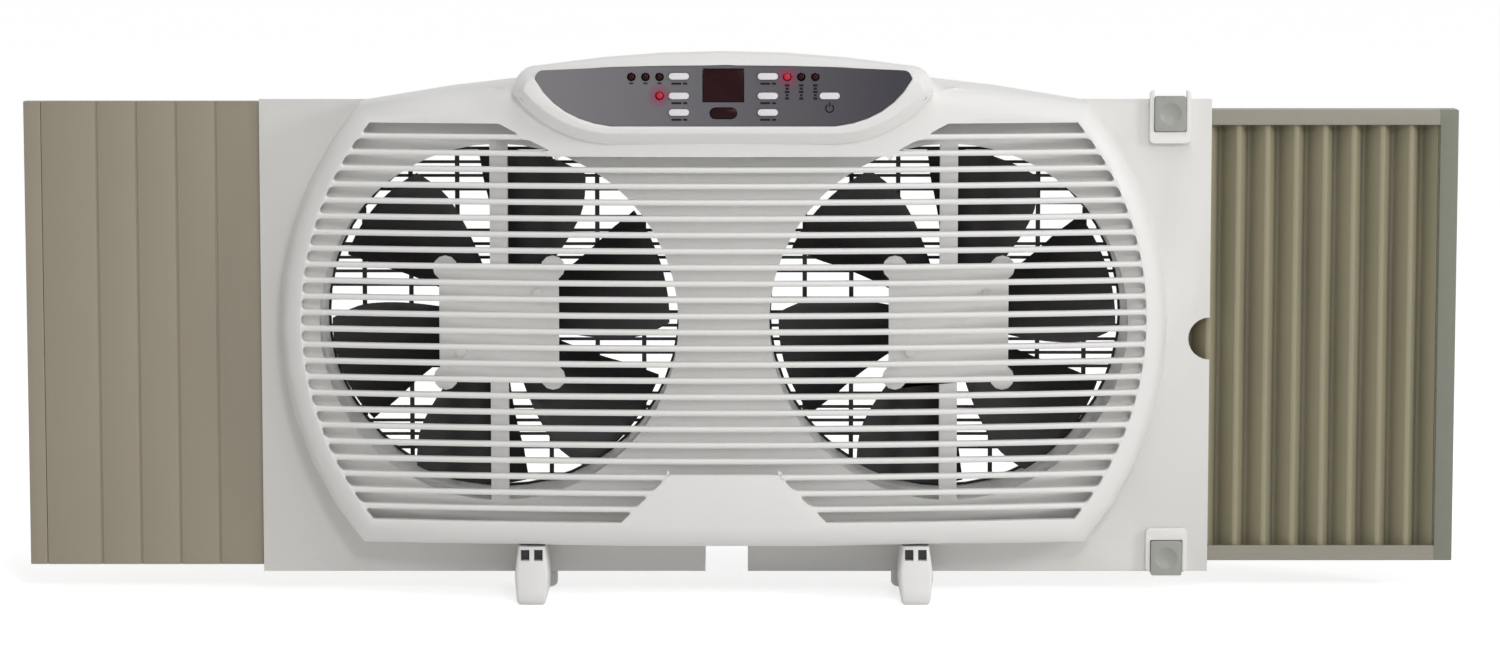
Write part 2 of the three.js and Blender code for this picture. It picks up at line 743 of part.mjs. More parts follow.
function fanBlade(x, restAngle) {
  const hub = bar(hubRadius, [hubFrontY, hubBackY], x, axisZ, medium);
  const hollow = bar(hubRadius - wall, [hubFrontY - past, hubBackY - wall], x, axisZ, medium);
  const post = bar(shaftRadius + hubPostWall, [hubFrontY, hubBackY], x, axisZ, small);
  const blades = [];
  for (let turn = 0; turn < bladeCount; turn++) {
    blades.push(blade(x, restAngle + (turn * 360) / bladeCount));
  }
  const sweepY = [bladeMidY - bladeTipRadius, bladeMidY + bladeTipRadius];
  const trimmed = joined(blades).intersect(bar(bladeTipRadius, sweepY, x, axisZ, smooth));
  const rooted = trimmed.subtract(bar(hubRadius - sink, sweepY, x, axisZ, medium));
  const bore = bar(shaftRadius + fit, [hubFrontY - past, hubBackY + past], x, axisZ, small);
  return hub.subtract(hollow).add(rooted).add(post).subtract(bore);
}

function bladeClip(x) {
  const y = [hubBackY + fit, hubBackY + fit + clipThickness];
  const bore = bar(shaftRadius + fit, [y[0] - past, y[1] + past], x, axisZ, small);
  return bar(clipRadius, y, x, axisZ, small).subtract(bore);
}

// ---------------------------------------------------------------- rear grilles

function rearGrille(x) {
  const y = [grilleFrontY, grilleBackY];
  const inner = grilleRadius - grilleRim;
  const bore = bar(inner, [y[0] - past, y[1] + past], x, axisZ, smooth);
  const rim = bar(grilleRadius, y, x, axisZ, smooth).subtract(bore);
  const reach = (offset) => Math.sqrt((inner + grilleRim / 2) ** 2 - offset ** 2);
  const bars = [rim];
  const rows = Math.floor(inner / grilleBarPitch);
  const barY = [y[0], y[1] - grilleRibDepth - fit];
  for (let row = -rows; row <= rows; row++) {
    const offset = row * grilleBarPitch;
    const half = reach(Math.abs(offset) + grilleBar / 2);
    const height = [axisZ + offset - grilleBar / 2, axisZ + offset + grilleBar / 2];
    bars.push(block([x - half, x + half], barY, height));
  }
  const ribs = Math.floor(inner / grilleRibPitch);
  for (let rib = -ribs; rib <= ribs; rib++) {
    const offset = rib * grilleRibPitch;
    const half = reach(Math.abs(offset) + grilleRib / 2);
    const width = [x + offset - grilleRib / 2, x + offset + grilleRib / 2];
    bars.push(block(width, [y[1] - grilleRibDepth, y[1]], [axisZ - half, axisZ + half]));
  }
  return joined(bars);
}

// ---------------------------------------------------------------- rear housing

function channel(bottomZ) {
  const low = bottomZ - railGap - channelWall;
  const high = bottomZ + railHeight + railGap + channelWall;
  const y = [flangeThickness - sink, channelBackY + channelWall];
  const outer = block([fit + sink - boxHalfWidth, flangeRight + past], y, [low, high]);
  const room = [low + channelWall, high - channelWall];
  const roomX = [-boxHalfWidth - past, flangeRight + 2 * past];
  return outer.subtract(block(roomX, [flangeThickness, channelBackY], room));
}

function lockSlot(z) {
  const x = [lockX - lockStemWidth / 2 - fit, lockX + lockStemWidth / 2 + fit];
  return block(x, [-past, flangeThickness + past], z);
}

// The plan of the rear box, set in from its outer faces.
function boxOutline(inset) {
  const x = [inset - boxHalfWidth, boxHalfWidth - inset];
  const z = [axisZ - boxHalfHeight + inset, axisZ + boxHalfHeight - inset];
  return roundedRectangle(x, z, boxCorner - inset);
}

// The flange that shows round the front housing, with the two channels that the side panel runs in.
function windowFlange() {
  const flange = block([-flangeLeft, flangeRight + past], [0, flangeThickness], [flangeBottomZ, flangeTopZ]);
  let body = flange.add(bodyPlate(0, [0, flangeThickness], crownRise));
  body = body.add(channel(railTopZ - railHeight)).add(channel(railBottomZ));
  const mouthY = [-past, flangeThickness + past];
  body = body.subtract(plate(boxOutline(wall), mouthY).intersect(bodyPlate(wall, mouthY, crownRise)));
  const curtainRoomZ = [railBottomZ - railGap, railTopZ + railGap];
  const curtainRoomX = [boxHalfWidth, flangeRight + 2 * past];
  body = body.subtract(block(curtainRoomX, [flangeThickness, channelBackY], curtainRoomZ));
  const beyondEdge = [flangeRight, flangeRight + 2 * past];
  body = body.subtract(block(beyondEdge, [-past, rearDepth], [0, flangeTopZ + past]));
  const notchX = [cordNotchX - cordNotchWidth / 2, cordNotchX + cordNotchWidth / 2];
  const notchZ = [flangeBottomZ - past, flangeBottomZ + cordNotchRise];
  body = body.subtract(block(notchX, [-past, rearDepth], notchZ));
  const throughFlange = [-past, flangeThickness + past];
  body = body.subtract(bar(fingerNotchRadius, throughFlange, flangeRight, flangeBottomZ + fingerNotchRise));
  body = body.subtract(lockSlot(upperSlotZ)).subtract(lockSlot(lowerSlotZ));
  for (const { x, z } of Object.values(screwSpots)) {
    body = body.subtract(bar(screwHoleRadius, throughFlange, x, z, small));
  }
  return body;
}

// The walls of the box behind the flange, with the backs of the pockets that the side panels slide into.
function rearHousing() {
  const boxFrontY = flangeThickness + fit;
  const boxY = [boxFrontY, rearWallY - fit];
  let body = plate(boxOutline(0), boxY);
  const pocketBack = [channelBackY, channelBackY + channelWall];
  const reach = railGap + channelWall + fit;
  const rightPocketZ = [railBottomZ + railHeight + reach, railTopZ - railHeight - reach];
  body = body.add(block([boxHalfWidth - sink, flangeRight], pocketBack, rightPocketZ));
  const leftPocket = [panelBackY + railGap, panelBackY + railGap + pocketBackThickness];
  const leftPocketZ = [flangeBottomZ + pocketMargin, flangeTopZ - pocketMargin];
  body = body.add(block([-flangeLeft, sink - boxHalfWidth], leftPocket, leftPocketZ));
  body = body.subtract(plate(boxOutline(wall), [boxFrontY - past, rearDepth]));
  const wallZ = axisZ - boxHalfHeight;
  return body.subtract(glandBar(glandRadius + fit, [wallZ - past, wallZ + wall + past]));
}

// The plate that closes the box, with a round hole behind each grille.
function rearCover() {
  let body = plate(boxOutline(0), [rearWallY, rearDepth]);
  for (const side of [-1, 1]) {
    const x = (side * fanSpacing) / 2;
    body = body.subtract(bar(ductRadius, [rearWallY - past, rearDepth + past], x, axisZ, smooth));
  }
  return body;
}

function housingScrew({ x, z }) {
  const headY = [flangeThickness + fit, flangeThickness + fit + screwHeadHeight];
  const shank = bar(screwRadius, [-screwLength, headY[0] + sink], x, z, small);
  return bar(screwHeadRadius, headY, x, z, small).add(shank);
}

// A round bar along Z at the place of the cord gland.
function glandBar(radius, z) {
  const geometry = new THREE.CylinderGeometry(radius, radius, z[1] - z[0], small);
  geometry.rotateX(Math.PI / 2);
  geometry.translate(cordNotchX, rearDepth - glandFromBack, (z[0] + z[1]) / 2);
  return solid(geometry);
}

function cordGland() {
  const wallZ = axisZ - boxHalfHeight;
  const ends = [wallZ - glandFlangeThickness - glandStem, wallZ + wall + glandStem];
  const stem = glandBar(glandRadius, ends);
  const flange = glandBar(glandFlangeRadius, [wallZ - fit - glandFlangeThickness, wallZ - fit]);
  const bore = glandBar(glandBoreRadius, [ends[0] - past, ends[1] + past]);
  return stem.add(flange).subtract(bore);
}

// ---------------------------------------------------------------- controls

function controlFascia() {
  let body = plate(boat(fasciaOutline), [fasciaFrontY, fasciaBackY], fine);
  const through = [fasciaFrontY - past, fasciaBackY + past];
  for (const { x, z } of Object.values(buttons)) {
    body = body.subtract(plate(pill(x, z, buttonWidth + 2 * fit, buttonHeight + 2 * fit), through, coarse));
  }
  for (const { x, z } of Object.values(lamps)) {
    body = body.subtract(bar(lampRadius + 2 * fit, through, x, z, tiny));
  }
  body = body.subtract(block(displayX(fit), through, displaySpanZ(fit)));
  const receiverHole = pill(0, receiverZ, receiverWidth + 2 * fit, receiverHeight + 2 * fit);
  body = body.subtract(plate(receiverHole, through));
  const postX = boardHalfWidth - boardPostInset;
  for (const x of [-postX, postX]) {
    const z = (boardBottomZ + boardTopZ) / 2;
    body = body.add(bar(boardPostRadius, [fasciaBackY - sink, boardY - fit], x, z, small));
  }
  return body;
}

function displayX(grow) {
  return [-displayWidth / 2 - grow, displayWidth / 2 + grow];
}

function displaySpanZ(grow) {
  return [displayZ - displayHeight / 2 - grow, displayZ + displayHeight / 2 + grow];
}

const buttons = {};
for (const [side, way] of Object.entries({ left: -1, right: 1 })) {
  for (const [row, drop] of Object.entries(buttonDrops)) {
    buttons[`button_${side}_${row}`] = { x: way * buttonColumnX, z: podCrownZ - drop };
  }
}
const middleRowZ = podCrownZ - buttonDrops.middle;
buttons.power_button = { x: buttonColumnX + powerFromColumn, z: middleRowZ };

const lamps = { lamp_left_status: { x: -lampFirstX, z: middleRowZ } };
for (let place = 0; place < 3; place++) {
  const x = lampFirstX + place * lampPitch;
  const z = podCrownZ - lampDrop;
  lamps[`lamp_left_${place + 1}`] = { x: -x, z };
  lamps[`lamp_right_${place + 1}`] = { x, z };
}

function button({ x, z }) {
  const cap = plate(pill(x, z, buttonWidth, buttonHeight), [buttonFrontY, buttonBackY], coarse);
  const lipWidth = buttonWidth + 2 * buttonFlange + 2 * fit;
  const lipHeight = buttonHeight + 2 * buttonFlange;
  return cap.add(plate(pill(x, z, lipWidth, lipHeight), [buttonLipY, buttonBackY], coarse));
}

// A lamp stands on the board and ends in a dome in front of the fascia.
function lamp({ x, z }) {
  const length = boardY - fit - (fasciaFrontY - lampProud);
  const points = [new THREE.Vector2(0, 0), new THREE.Vector2(lampRadius, 0)];
  for (let step = 0; step <= lampDomeSteps; step++) {
    const angle = (Math.PI / 2) * (step / lampDomeSteps);
    const height = length - lampDome * (1 - Math.sin(angle));
    points.push(new THREE.Vector2(step < lampDomeSteps ? lampRadius * Math.cos(angle) : 0, height));
  }
  const geometry = new THREE.LatheGeometry(points, tiny);
  geometry.rotateX(Math.PI);
  geometry.translate(x, boardY - fit, z);
  return solid(geometry);
}

const windowY = [fasciaFrontY + windowRecess, fasciaFrontY + windowRecess + windowThickness];
const moduleY = [windowY[1] + fit, boardY - fit];

function displayModule() {
  return block(displayX(-moduleInset), moduleY, displaySpanZ(-moduleInset));
}

function receiverBlock() {
  const half = receiverBlockWidth / 2;
  const lowZ = Math.max(receiverZ - receiverBlockHeight / 2, boardBottomZ);
  return block([-half, half], moduleY, [lowZ, lowZ + receiverBlockHeight]);
}

// Circuit board with a small switch behind every button.
function controlBoard() {
  const y = [boardY, boardY + boardThickness];
  let body = block([-boardHalfWidth, boardHalfWidth], y, [boardBottomZ, boardTopZ]);
  for (const { x, z } of Object.values(buttons)) {
    const half = switchSize / 2;
    const low = Math.max(z - half, boardBottomZ);
    const high = Math.min(z + half, boardTopZ);
    body = body.add(block([x - half, x + half], [switchFrontY, boardY + sink], [low, high]));
  }
  return body;
}

// ---------------------------------------------------------------- left filler panel

const panelInnerX = flangeLeft - panelEngaged;
const trimInnerX = panelOuterX - panelTrimWidth;

function fillerPanel() {
  const y = [panelFrontY, panelBackY];
  let body = block([fit - trimInnerX, -panelInnerX], y, [panelBottomZ, panelTopZ]);
  for (let groove = 0; groove < grooveCount; groove++) {
    const x = grooveFirst + groove * groovePitch - trimInnerX;
    const width = [x - grooveWidth / 2, x + grooveWidth / 2];
    const depth = [panelFrontY - past, panelFrontY + grooveDepth];
    body = body.subtract(block(width, depth, [panelBottomZ - past, panelTopZ + past]));
  }
  return body;
}

function endTrim() {
  return block([-panelOuterX, -trimInnerX], [panelFrontY, panelBackY], [panelBottomZ, panelTopZ]);
}

// ---------------------------------------------------------------- right frame and curtain

const stripInnerX = frameOuterX - frameStripWidth;
const curtainMidY = (railFrontY + railBackY) / 2;
const grooveHalfDepth = curtainDepth / 2 + curtainSideGap;
const grooveY = [curtainMidY - grooveHalfDepth, curtainMidY + grooveHalfDepth];

function slidingFrame() {
  const y = [railFrontY, railBackY];
  const lowRail = [railBottomZ, railBottomZ + railHeight];
  const highRail = [railTopZ - railHeight, railTopZ];
  let body = block([stripInnerX, frameOuterX], y, [railBottomZ, railTopZ]);
  body = body.add(block([railInnerX, stripInnerX + sink], y, lowRail));
  body = body.add(block([railInnerX, stripInnerX + sink], y, highRail));
  const grooveX = [railInnerX - past, stripInnerX];
  body = body.subtract(block(grooveX, grooveY, [lowRail[1] - railGrooveDepth, lowRail[1] + past]));
  return body.subtract(block(grooveX, grooveY, [highRail[0] - past, highRail[0] + railGrooveDepth]));
}

// A folded sheet: a zigzag in plan, thickened front to back.
function curtain() {
  const start = boxHalfWidth + fit;
  const length = stripInnerX - fit - start;
  const folds = Math.round(pleatCount * 2);
  const front = [];
  const back = [];
  for (let fold = 0; fold <= folds; fold++) {
    const x = start + (length * fold) / folds;
    const way = fold % 2 === 0 ? 1 : -1;
    const y = curtainMidY + way * (curtainDepth / 2 - curtainThickness);
    front.push([x, y - curtainThickness]);
    back.push([x, y + curtainThickness]);
  }
  const low = railBottomZ + railHeight - curtainLip;
  const high = railTopZ - railHeight + curtainLip;
  const shape = polygon([...front, ...back.reverse()]);
  const geometry = new THREE.ExtrudeGeometry(shape, { depth: high - low, bevelEnabled: false });
  geometry.translate(0, 0, low);
  return solid(geometry);
}

// ---------------------------------------------------------------- panel locks

const upperEdgeZ = flangeTopZ + lockUpperReach;
const lowerEdgeZ = flangeBottomZ - lockLowerReach;
const upperTabZ = [flangeTopZ + lockTabRise - lockTabHeight, flangeTopZ + lockTabRise];
const lowerTabZ = [lowerEdgeZ, lowerEdgeZ + lockTabHeight];
const stemInset = (railHeight - lockStemHeight) / 2;
const upperStemZ = [railTopZ - stemInset - lockStemHeight, railTopZ - stemInset];
const lowerStemZ = [railBottomZ + stemInset, railBottomZ + stemInset + lockStemHeight];
const upperSlotZ = [upperStemZ[0] - fit, upperStemZ[1] + lockTravel + fit];
const lowerSlotZ = [lowerStemZ[0] - lockTravel - fit, lowerStemZ[1] + fit];

// U-shaped surround; way is 1 for the lock that opens upwards and -1 for the one that opens down.
function lockSurround(way) {
  const x = [lockX - lockWidth / 2, lockX + lockWidth / 2];
  const y = [-fit - lockFrameDepth, -fit];
  const upperZ = [upperTabZ[0] - lockFrameEnd, upperEdgeZ];
  const lowerZ = [flangeBottomZ, lowerTabZ[1] + lockFrameEnd];
  const z = way > 0 ? upperZ : lowerZ;
  const outer = plate(roundedRectangle(x, z, lockFrameCorner), y);
  const roomX = [x[0] + lockFrameSide, x[1] - lockFrameSide];
  const roomZ = way > 0 ? [upperTabZ[0] - fit, z[1] + past] : [z[0] - past, lowerTabZ[1] + fit];
  return outer.subtract(block(roomX, [y[0] - past, y[1] + past], roomZ));
}

function lockTab(tabZ, stemZ) {
  const half = lockWidth / 2 - lockFrameSide - fit;
  const frontFace = -fit - lockTabDepth;
  const midZ = (tabZ[0] + tabZ[1]) / 2;
  const outline = roundedRectangle([lockX - half, lockX + half], tabZ, lockTabCorner);
  const pad = plate(outline, [frontFace, -fit]);
  const dish = new THREE.SphereGeometry(lockDishRadius, medium, small);
  dish.translate(lockX, frontFace + lockDishDepth - lockDishRadius, midZ);
  const stemX = [lockX - lockStemWidth / 2, lockX + lockStemWidth / 2];
  return pad.subtract(solid(dish)).add(block(stemX, [-fit - sink, railFrontY - fit], stemZ));
}

// ---------------------------------------------------------------- feet

const footFrontY = footSetBack - frontDepth;
const footBackY = footFrontY + footLength;
const footNeckFrontY = footFrontY + footNeckSetBack;
const footNeckBackY = footNeckFrontY + footNeckDepth;

// Space of one tongue that plugs into the housing's underside, grown by a clearance.
function tongueSpace(side, tongue, grow) {
  const x = side * footX + (tongue * tongueSpacing) / 2;
  const y = (footNeckFrontY + footNeckBackY) / 2;
  const half = tongueWidth / 2 + grow;
  const halfY = tongueThickness / 2 + grow;
  const span = [bodyBottomZ - past, bodyBottomZ + tongueHeight];
  return block([x - half, x + half], [y - halfY, y + halfY], span);
}

function foot(side) {
  const x = side * footX;
  const neckTop = bodyBottomZ - fit;
  const profile = new THREE.Shape();
  profile.moveTo(footFrontY + footToeRun, 0);
  profile.lineTo(footBackY - footHeelRound, 0);
  profile.lineTo(footBackY - footHeelRound, footHeelHeight);
  profile.lineTo(footNeckBackY + footHeelSlope.run, footHeelHeight);
  profile.lineTo(footNeckBackY, footHeelHeight + footHeelSlope.rise);
  profile.lineTo(footNeckBackY, neckTop);
  profile.lineTo(footNeckFrontY, neckTop);
  profile.lineTo(footFrontY, footToeHeight);
  let body = section(profile, [x - footFrontWidth / 2, x + footFrontWidth / 2]);
  const heel = new THREE.CylinderGeometry(footHeelWidth / 2, footHeelWidth / 2, footHeelHeight, medium);
  heel.rotateX(Math.PI / 2);
  heel.translate(x, footBackY - footHeelWidth / 2, footHeelHeight / 2);
  body = body.add(solid(heel));
  const slotY = [footFrontY - past, (footFrontY + footNeckFrontY) / 2 + footNeckSetBack];
  const slotZ = [neckTop - footSlotDrop - footSlotHeight, neckTop - footSlotDrop];
  for (const tongue of [-1, 1]) {
    body = body.add(tongueSpace(side, tongue, 0));
    const slotX = x + tongue * (tongueSpacing / 2 - footSlotShift);
    body = body.subtract(block([slotX - footSlotWidth / 2, slotX + footSlotWidth / 2], slotY, slotZ));
  }
  return body;
}

// ---------------------------------------------------------------- assembly

const finishes = {
  housing: { color: 0xe3e2dc, roughness: 0.45, metalness: 0 },
  flange: { color: 0xd8d5cd, roughness: 0.5, metalness: 0 },
  black: { color: 0x1c191b, roughness: 0.5, metalness: 0 },
  fascia: { color: 0x6a686d, roughness: 0.4, metalness: 0 },
  button: { color: 0xebe6eb, roughness: 0.4, metalness: 0 },
  smoke: { color: 0x2a0d10, roughness: 0.15, metalness: 0 },
  lamp: { color: 0x3a1418, roughness: 0.2, metalness: 0 },
  lit: { color: 0xd0202c, roughness: 0.2, metalness: 0 },
  board: { color: 0x2c5a38, roughness: 0.6, metalness: 0 },
  module: { color: 0x303034, roughness: 0.5, metalness: 0 },
  khaki: { color: 0x9b9382, roughness: 0.6, metalness: 0 },
  frame: { color: 0x828476, roughness: 0.55, metalness: 0 },
  curtain: { color: 0x9a957c, roughness: 0.7, metalness: 0 },
  lockTab: { color: 0xa0a09b, roughness: 0.4, metalness: 0 },
  steel: { color: 0x8d8f92, roughness: 0.35, metalness: 1 },
  copper: { color: 0xa7643a, roughness: 0.4, metalness: 0.8 },
};

const fan = new THREE.Group();

function addPiece(name, body, finish) {
  const mesh = new THREE.Mesh(geometryOf(body), new THREE.MeshStandardMaterial(finishes[finish]));
  mesh.name = name;
  fan.add(mesh);
}

addPiece('front_housing', frontHousing(), 'housing');
addPiece('fan_shroud', shroud(), 'housing');
addPiece('window_flange', windowFlange(), 'flange');
addPiece('rear_housing', rearHousing(), 'flange');
addPiece('rear_cover', rearCover(), 'flange');
for (const [place, spot] of Object.entries(screwSpots)) {
  addPiece(`housing_screw_${place}`, housingScrew(spot), 'steel');
}
for (const [side, x] of Object.entries({ left: -fanSpacing / 2, right: fanSpacing / 2 })) {
  addPiece(`rear_grille_${side}`, rearGrille(x), 'black');
  addPiece(`motor_${side}`, motor(x), 'steel');
  addPiece(`motor_coil_${side}`, motorCoil(x), 'copper');
  addPiece(`motor_screw_${side}_upper`, motorScrew(x, 1), 'steel');
  addPiece(`motor_screw_${side}_lower`, motorScrew(x, -1), 'steel');
  addPiece(`rotor_shaft_${side}`, rotorShaft(x), 'steel');
  addPiece(`fan_blade_${side}`, fanBlade(x, restAngles[side]), 'black');
  addPiece(`blade_clip_${side}`, bladeClip(x), 'steel');
}

addPiece('control_fascia', controlFascia(), 'fascia');
addPiece('control_board', controlBoard(), 'board');
addPiece('display_window', block(displayX(0), windowY, displaySpanZ(0)), 'smoke');
addPiece('display_module', displayModule(), 'module');
addPiece('receiver_window', plate(pill(0, receiverZ, receiverWidth, receiverHeight), windowY), 'smoke');
addPiece('receiver', receiverBlock(), 'module');
for (const [name, spot] of Object.entries(buttons)) {
  addPiece(name, button(spot), 'button');
}
for (const [name, spot] of Object.entries(lamps)) {
  addPiece(name, lamp(spot), name === 'lamp_left_status' || name === 'lamp_right_1' ? 'lit' : 'lamp');
}

addPiece('filler_panel', fillerPanel(), 'khaki');
addPiece('filler_end_trim', endTrim(), 'khaki');
addPiece('sliding_frame', slidingFrame(), 'frame');
addPiece('pleated_curtain', curtain(), 'curtain');
addPiece('lock_surround_upper', lockSurround(1), 'housing');
addPiece('lock_surround_lower', lockSurround(-1), 'housing');
addPiece('lock_tab_upper', lockTab(upperTabZ, upperStemZ), 'lockTab');
addPiece('lock_tab_lower', lockTab(lowerTabZ, lowerStemZ), 'lockTab');
addPiece('foot_left', foot(-1), 'housing');
addPiece('foot_right', foot(1), 'housing');
addPiece('cord_gland', cordGland(), 'black');

fan.position.set((panelOuterX - frameOuterX) / 2, -(buttonFrontY + rearDepth) / 2, 0);

export default fan;
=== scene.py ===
"""Twin window fan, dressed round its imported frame: louvred housing, ducts, fans, controls, side panels."""

import json
import math

import bmesh
import bpy
from mathutils import Matrix, Vector


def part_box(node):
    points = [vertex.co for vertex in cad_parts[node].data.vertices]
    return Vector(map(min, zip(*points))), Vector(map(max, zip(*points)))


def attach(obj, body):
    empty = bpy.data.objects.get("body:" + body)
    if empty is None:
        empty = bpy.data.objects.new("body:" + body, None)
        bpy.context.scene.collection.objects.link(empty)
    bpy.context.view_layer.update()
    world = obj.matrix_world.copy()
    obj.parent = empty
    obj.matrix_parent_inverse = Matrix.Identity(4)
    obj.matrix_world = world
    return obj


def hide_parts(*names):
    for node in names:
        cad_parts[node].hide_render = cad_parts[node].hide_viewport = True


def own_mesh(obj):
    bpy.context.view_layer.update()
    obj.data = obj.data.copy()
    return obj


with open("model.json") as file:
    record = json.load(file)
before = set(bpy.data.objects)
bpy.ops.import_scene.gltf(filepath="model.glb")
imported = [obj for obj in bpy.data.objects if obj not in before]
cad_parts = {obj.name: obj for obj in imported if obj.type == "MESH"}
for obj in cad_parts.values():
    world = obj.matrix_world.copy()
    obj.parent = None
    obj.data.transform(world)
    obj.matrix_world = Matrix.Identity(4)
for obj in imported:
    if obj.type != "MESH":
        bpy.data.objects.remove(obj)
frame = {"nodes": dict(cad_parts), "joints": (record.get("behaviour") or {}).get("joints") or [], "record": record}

bl_info = {
    "name": "Window Fan",
    "version": (1, 0, 0),
    "blender": (4, 5, 0),
    "location": "View3D > Sidebar > Window Fan",
    "description": "Dresses the window fan's fixed frame with its visible pieces and finishes",
    "category": "Object",
}

MM = 0.001
JOINTS = {joint["name"]: joint for joint in frame["joints"]}
SLOTS = {entry["slot"]: entry for entry in frame["record"]["materials"]}
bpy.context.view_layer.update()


# ---------------------------------------------------------------- properties


def length(name, description, millimetres):
    """A length property, given in millimetres."""
    return bpy.props.FloatProperty(
        name=name, description=description, default=millimetres * MM, unit="LENGTH", precision=5
    )


def colour(name, slot):
    """A colour property whose default is the record's colour of a material slot."""
    return bpy.props.FloatVectorProperty(
        name=name, description=f"Base colour of the {name.lower()}", subtype="COLOR",
        size=3, min=0, max=1, default=SLOTS[slot]["base_color"][:3],
    )


class WindowFanSizes(bpy.types.PropertyGroup):
    """Sizes of the visible pieces that the frame doesn't give."""

    front_depth: length("Front depth", "Front face ahead of the flange, at the middle", 58)
    front_radius: length("Front radius", "Plan curve of the front face", 1400)
    slat_depth: length("Slat depth", "Depth of the louvres and of the front wall", 7)
    louvre_pitch: length("Louvre pitch", "Height from one louvre to the next", 10.5)
    louvre_gap: length("Louvre gap", "Height of each slot between two louvres", 7)
    duct_radius: length("Duct radius", "Clear bore of each duct", 117)
    hub_radius: length("Hub radius", "Radius of the fan hubs", 32)
    blade_gap: length("Blade gap", "Between the blade tips and the duct", 6)
    pleat_thickness: length("Pleat thickness", "Thickness of the pleated sheet", 1)


class WindowFanColours(bpy.types.PropertyGroup):
    """Base colours of the finishes."""

    housing: colour("Housing", "housing_plastic")
    flange: colour("Flange", "flange_plastic")
    shroud: colour("Shroud", "shroud_plastic")
    blades: colour("Blades", "blade_black")
    grille: colour("Grille", "grille_black")
    fascia: colour("Fascia", "fascia_grey")
    buttons: colour("Buttons", "button_white")
    panel: colour("Filler panel", "panel_khaki")
    sliding_frame: colour("Sliding frame", "frame_grey_green")
    curtain: colour("Curtain", "curtain_vinyl")
    locks: colour("Lock tabs", "lock_grey")
    feet: colour("Feet", "foot_plastic")


# ---------------------------------------------------------------- shader expressions


class Value:
    """A shader socket; arithmetic on it adds Math nodes."""

    def __init__(self, shader, socket):
        self.shader = shader
        self.socket = socket

    def __add__(self, other):
        return self.shader.math("ADD", self, other)

    def __mul__(self, other):
        return self.shader.math("MULTIPLY", self, other)

    def __gt__(self, other):
        return self.shader.math("GREATER_THAN", self, other)

    __radd__ = __add__
    __rmul__ = __mul__


class Shader:
    """The node tree of a material, with a Principled BSDF as its surface, or of a world."""

    def __init__(self, name, world=None):
        self.material = world or bpy.data.materials.new(name)
        self.material.use_nodes = True
        self.tree = self.material.node_tree
        self.surface = self.tree.nodes["Background" if world else "Principled BSDF"]

    def node(self, kind, settings=None, inputs=None, output=0):
        """Adds a node, makes its settings first, then fills its sockets with values or links."""
        made = self.tree.nodes.new(kind)
        for key, value in (settings or {}).items():
            setattr(made, key, value)
        for key, value in (inputs or {}).items():
            self.feed(made.inputs[key], value)
        return Value(self, made.outputs[output])

    def feed(self, socket, value):
        if isinstance(value, Value):
            self.tree.links.new(value.socket, socket)
        else:
            socket.default_value = value

    def math(self, operation, first, second):
        return self.node("ShaderNodeMath", {"operation": operation}, {0: first, 1: second})

    def mix(self, share, first, second):
        """Colour mix; a colour is a Value or three numbers."""
        tones = [tone if isinstance(tone, Value) else (*tone, 1) for tone in (first, second)]
        return self.node(
            "ShaderNodeMix", {"data_type": "RGBA"}, {0: share, 6: tones[0], 7: tones[1]}, output=2
        )

    def place(self):
        """Object coordinates."""
        return self.node("ShaderNodeTexCoord", output=3)

    def along(self, axis):
        """The object coordinate along an axis, given as 0, 1 or 2."""
        return self.node("ShaderNodeSeparateXYZ", None, {0: self.place()}, output=axis)

    def noise(self, scale, detail, stretch=(1, 1, 1)):
        """Noise from 0 to 1 with features of 1/scale metres, stretched along the axes."""
        mapped = self.node("ShaderNodeMapping", None, {0: self.place(), 3: stretch})
        return self.node("ShaderNodeTexNoise", None, {"Vector": mapped, "Scale": scale, "Detail": detail})

    def nearest_lamp(self):
        """Distance to the nearer of the two lit lamps."""
        gaps = [
            self.node("ShaderNodeVectorMath", {"operation": "DISTANCE"},
                      {0: self.place(), 1: middle_of(lamp)}, output=1)
            for lamp in LIT_LAMPS
        ]
        return self.math("MINIMUM", *gaps)

    def seen_directly(self):
        """1 for rays that see the stage itself, from the camera, a gloss or a glass."""
        camera, glossy, transmitted = (self.node("ShaderNodeLightPath", output=n) for n in (0, 3, 6))
        return self.math("MAXIMUM", self.math("MAXIMUM", camera, glossy), transmitted)

    def bump(self, height, distance):
        self.set("Normal", self.node("ShaderNodeBump", None, {"Height": height, "Distance": distance}))

    def falloff(self, value, low, high, at_low=0.0, at_high=1.0):
        """A value's place between two levels, as a number that is held at both ends."""
        return self.node("ShaderNodeMapRange", None, {
            "Value": value, "From Min": low, "From Max": high, "To Min": at_low, "To Max": at_high,
        })

    def set(self, name, value):
        self.feed(self.surface.inputs[name], value)

    def set_all(self, **values):
        for name, value in values.items():
            self.set(name.replace("_", " "), value)


def tinted(tone, factor):
    """A tone made lighter or darker."""
    return tuple(min(1, channel * factor) for channel in tone)


def moulded_plastic(name, tone, roughness, grain=1400, depth=0.02):
    """Moulded plastic: a faint drift of tone, a fine spark-eroded grain and slightly uneven gloss."""
    shader = Shader(name)
    drifting = shader.noise(9, 3)
    speckle = shader.noise(grain * 0.5, 2)
    tones = shader.mix(drifting, tinted(tone, 0.97), tinted(tone, 1.03))
    shader.set("Base Color", shader.mix(speckle * 0.12, tones, tinted(tone, 0.86)))
    shader.set("Roughness", speckle * 0.12 + (roughness - 0.06))
    shader.bump(shader.noise(grain, 2), depth * MM)
    shader.set("IOR", 1.49)
    return shader


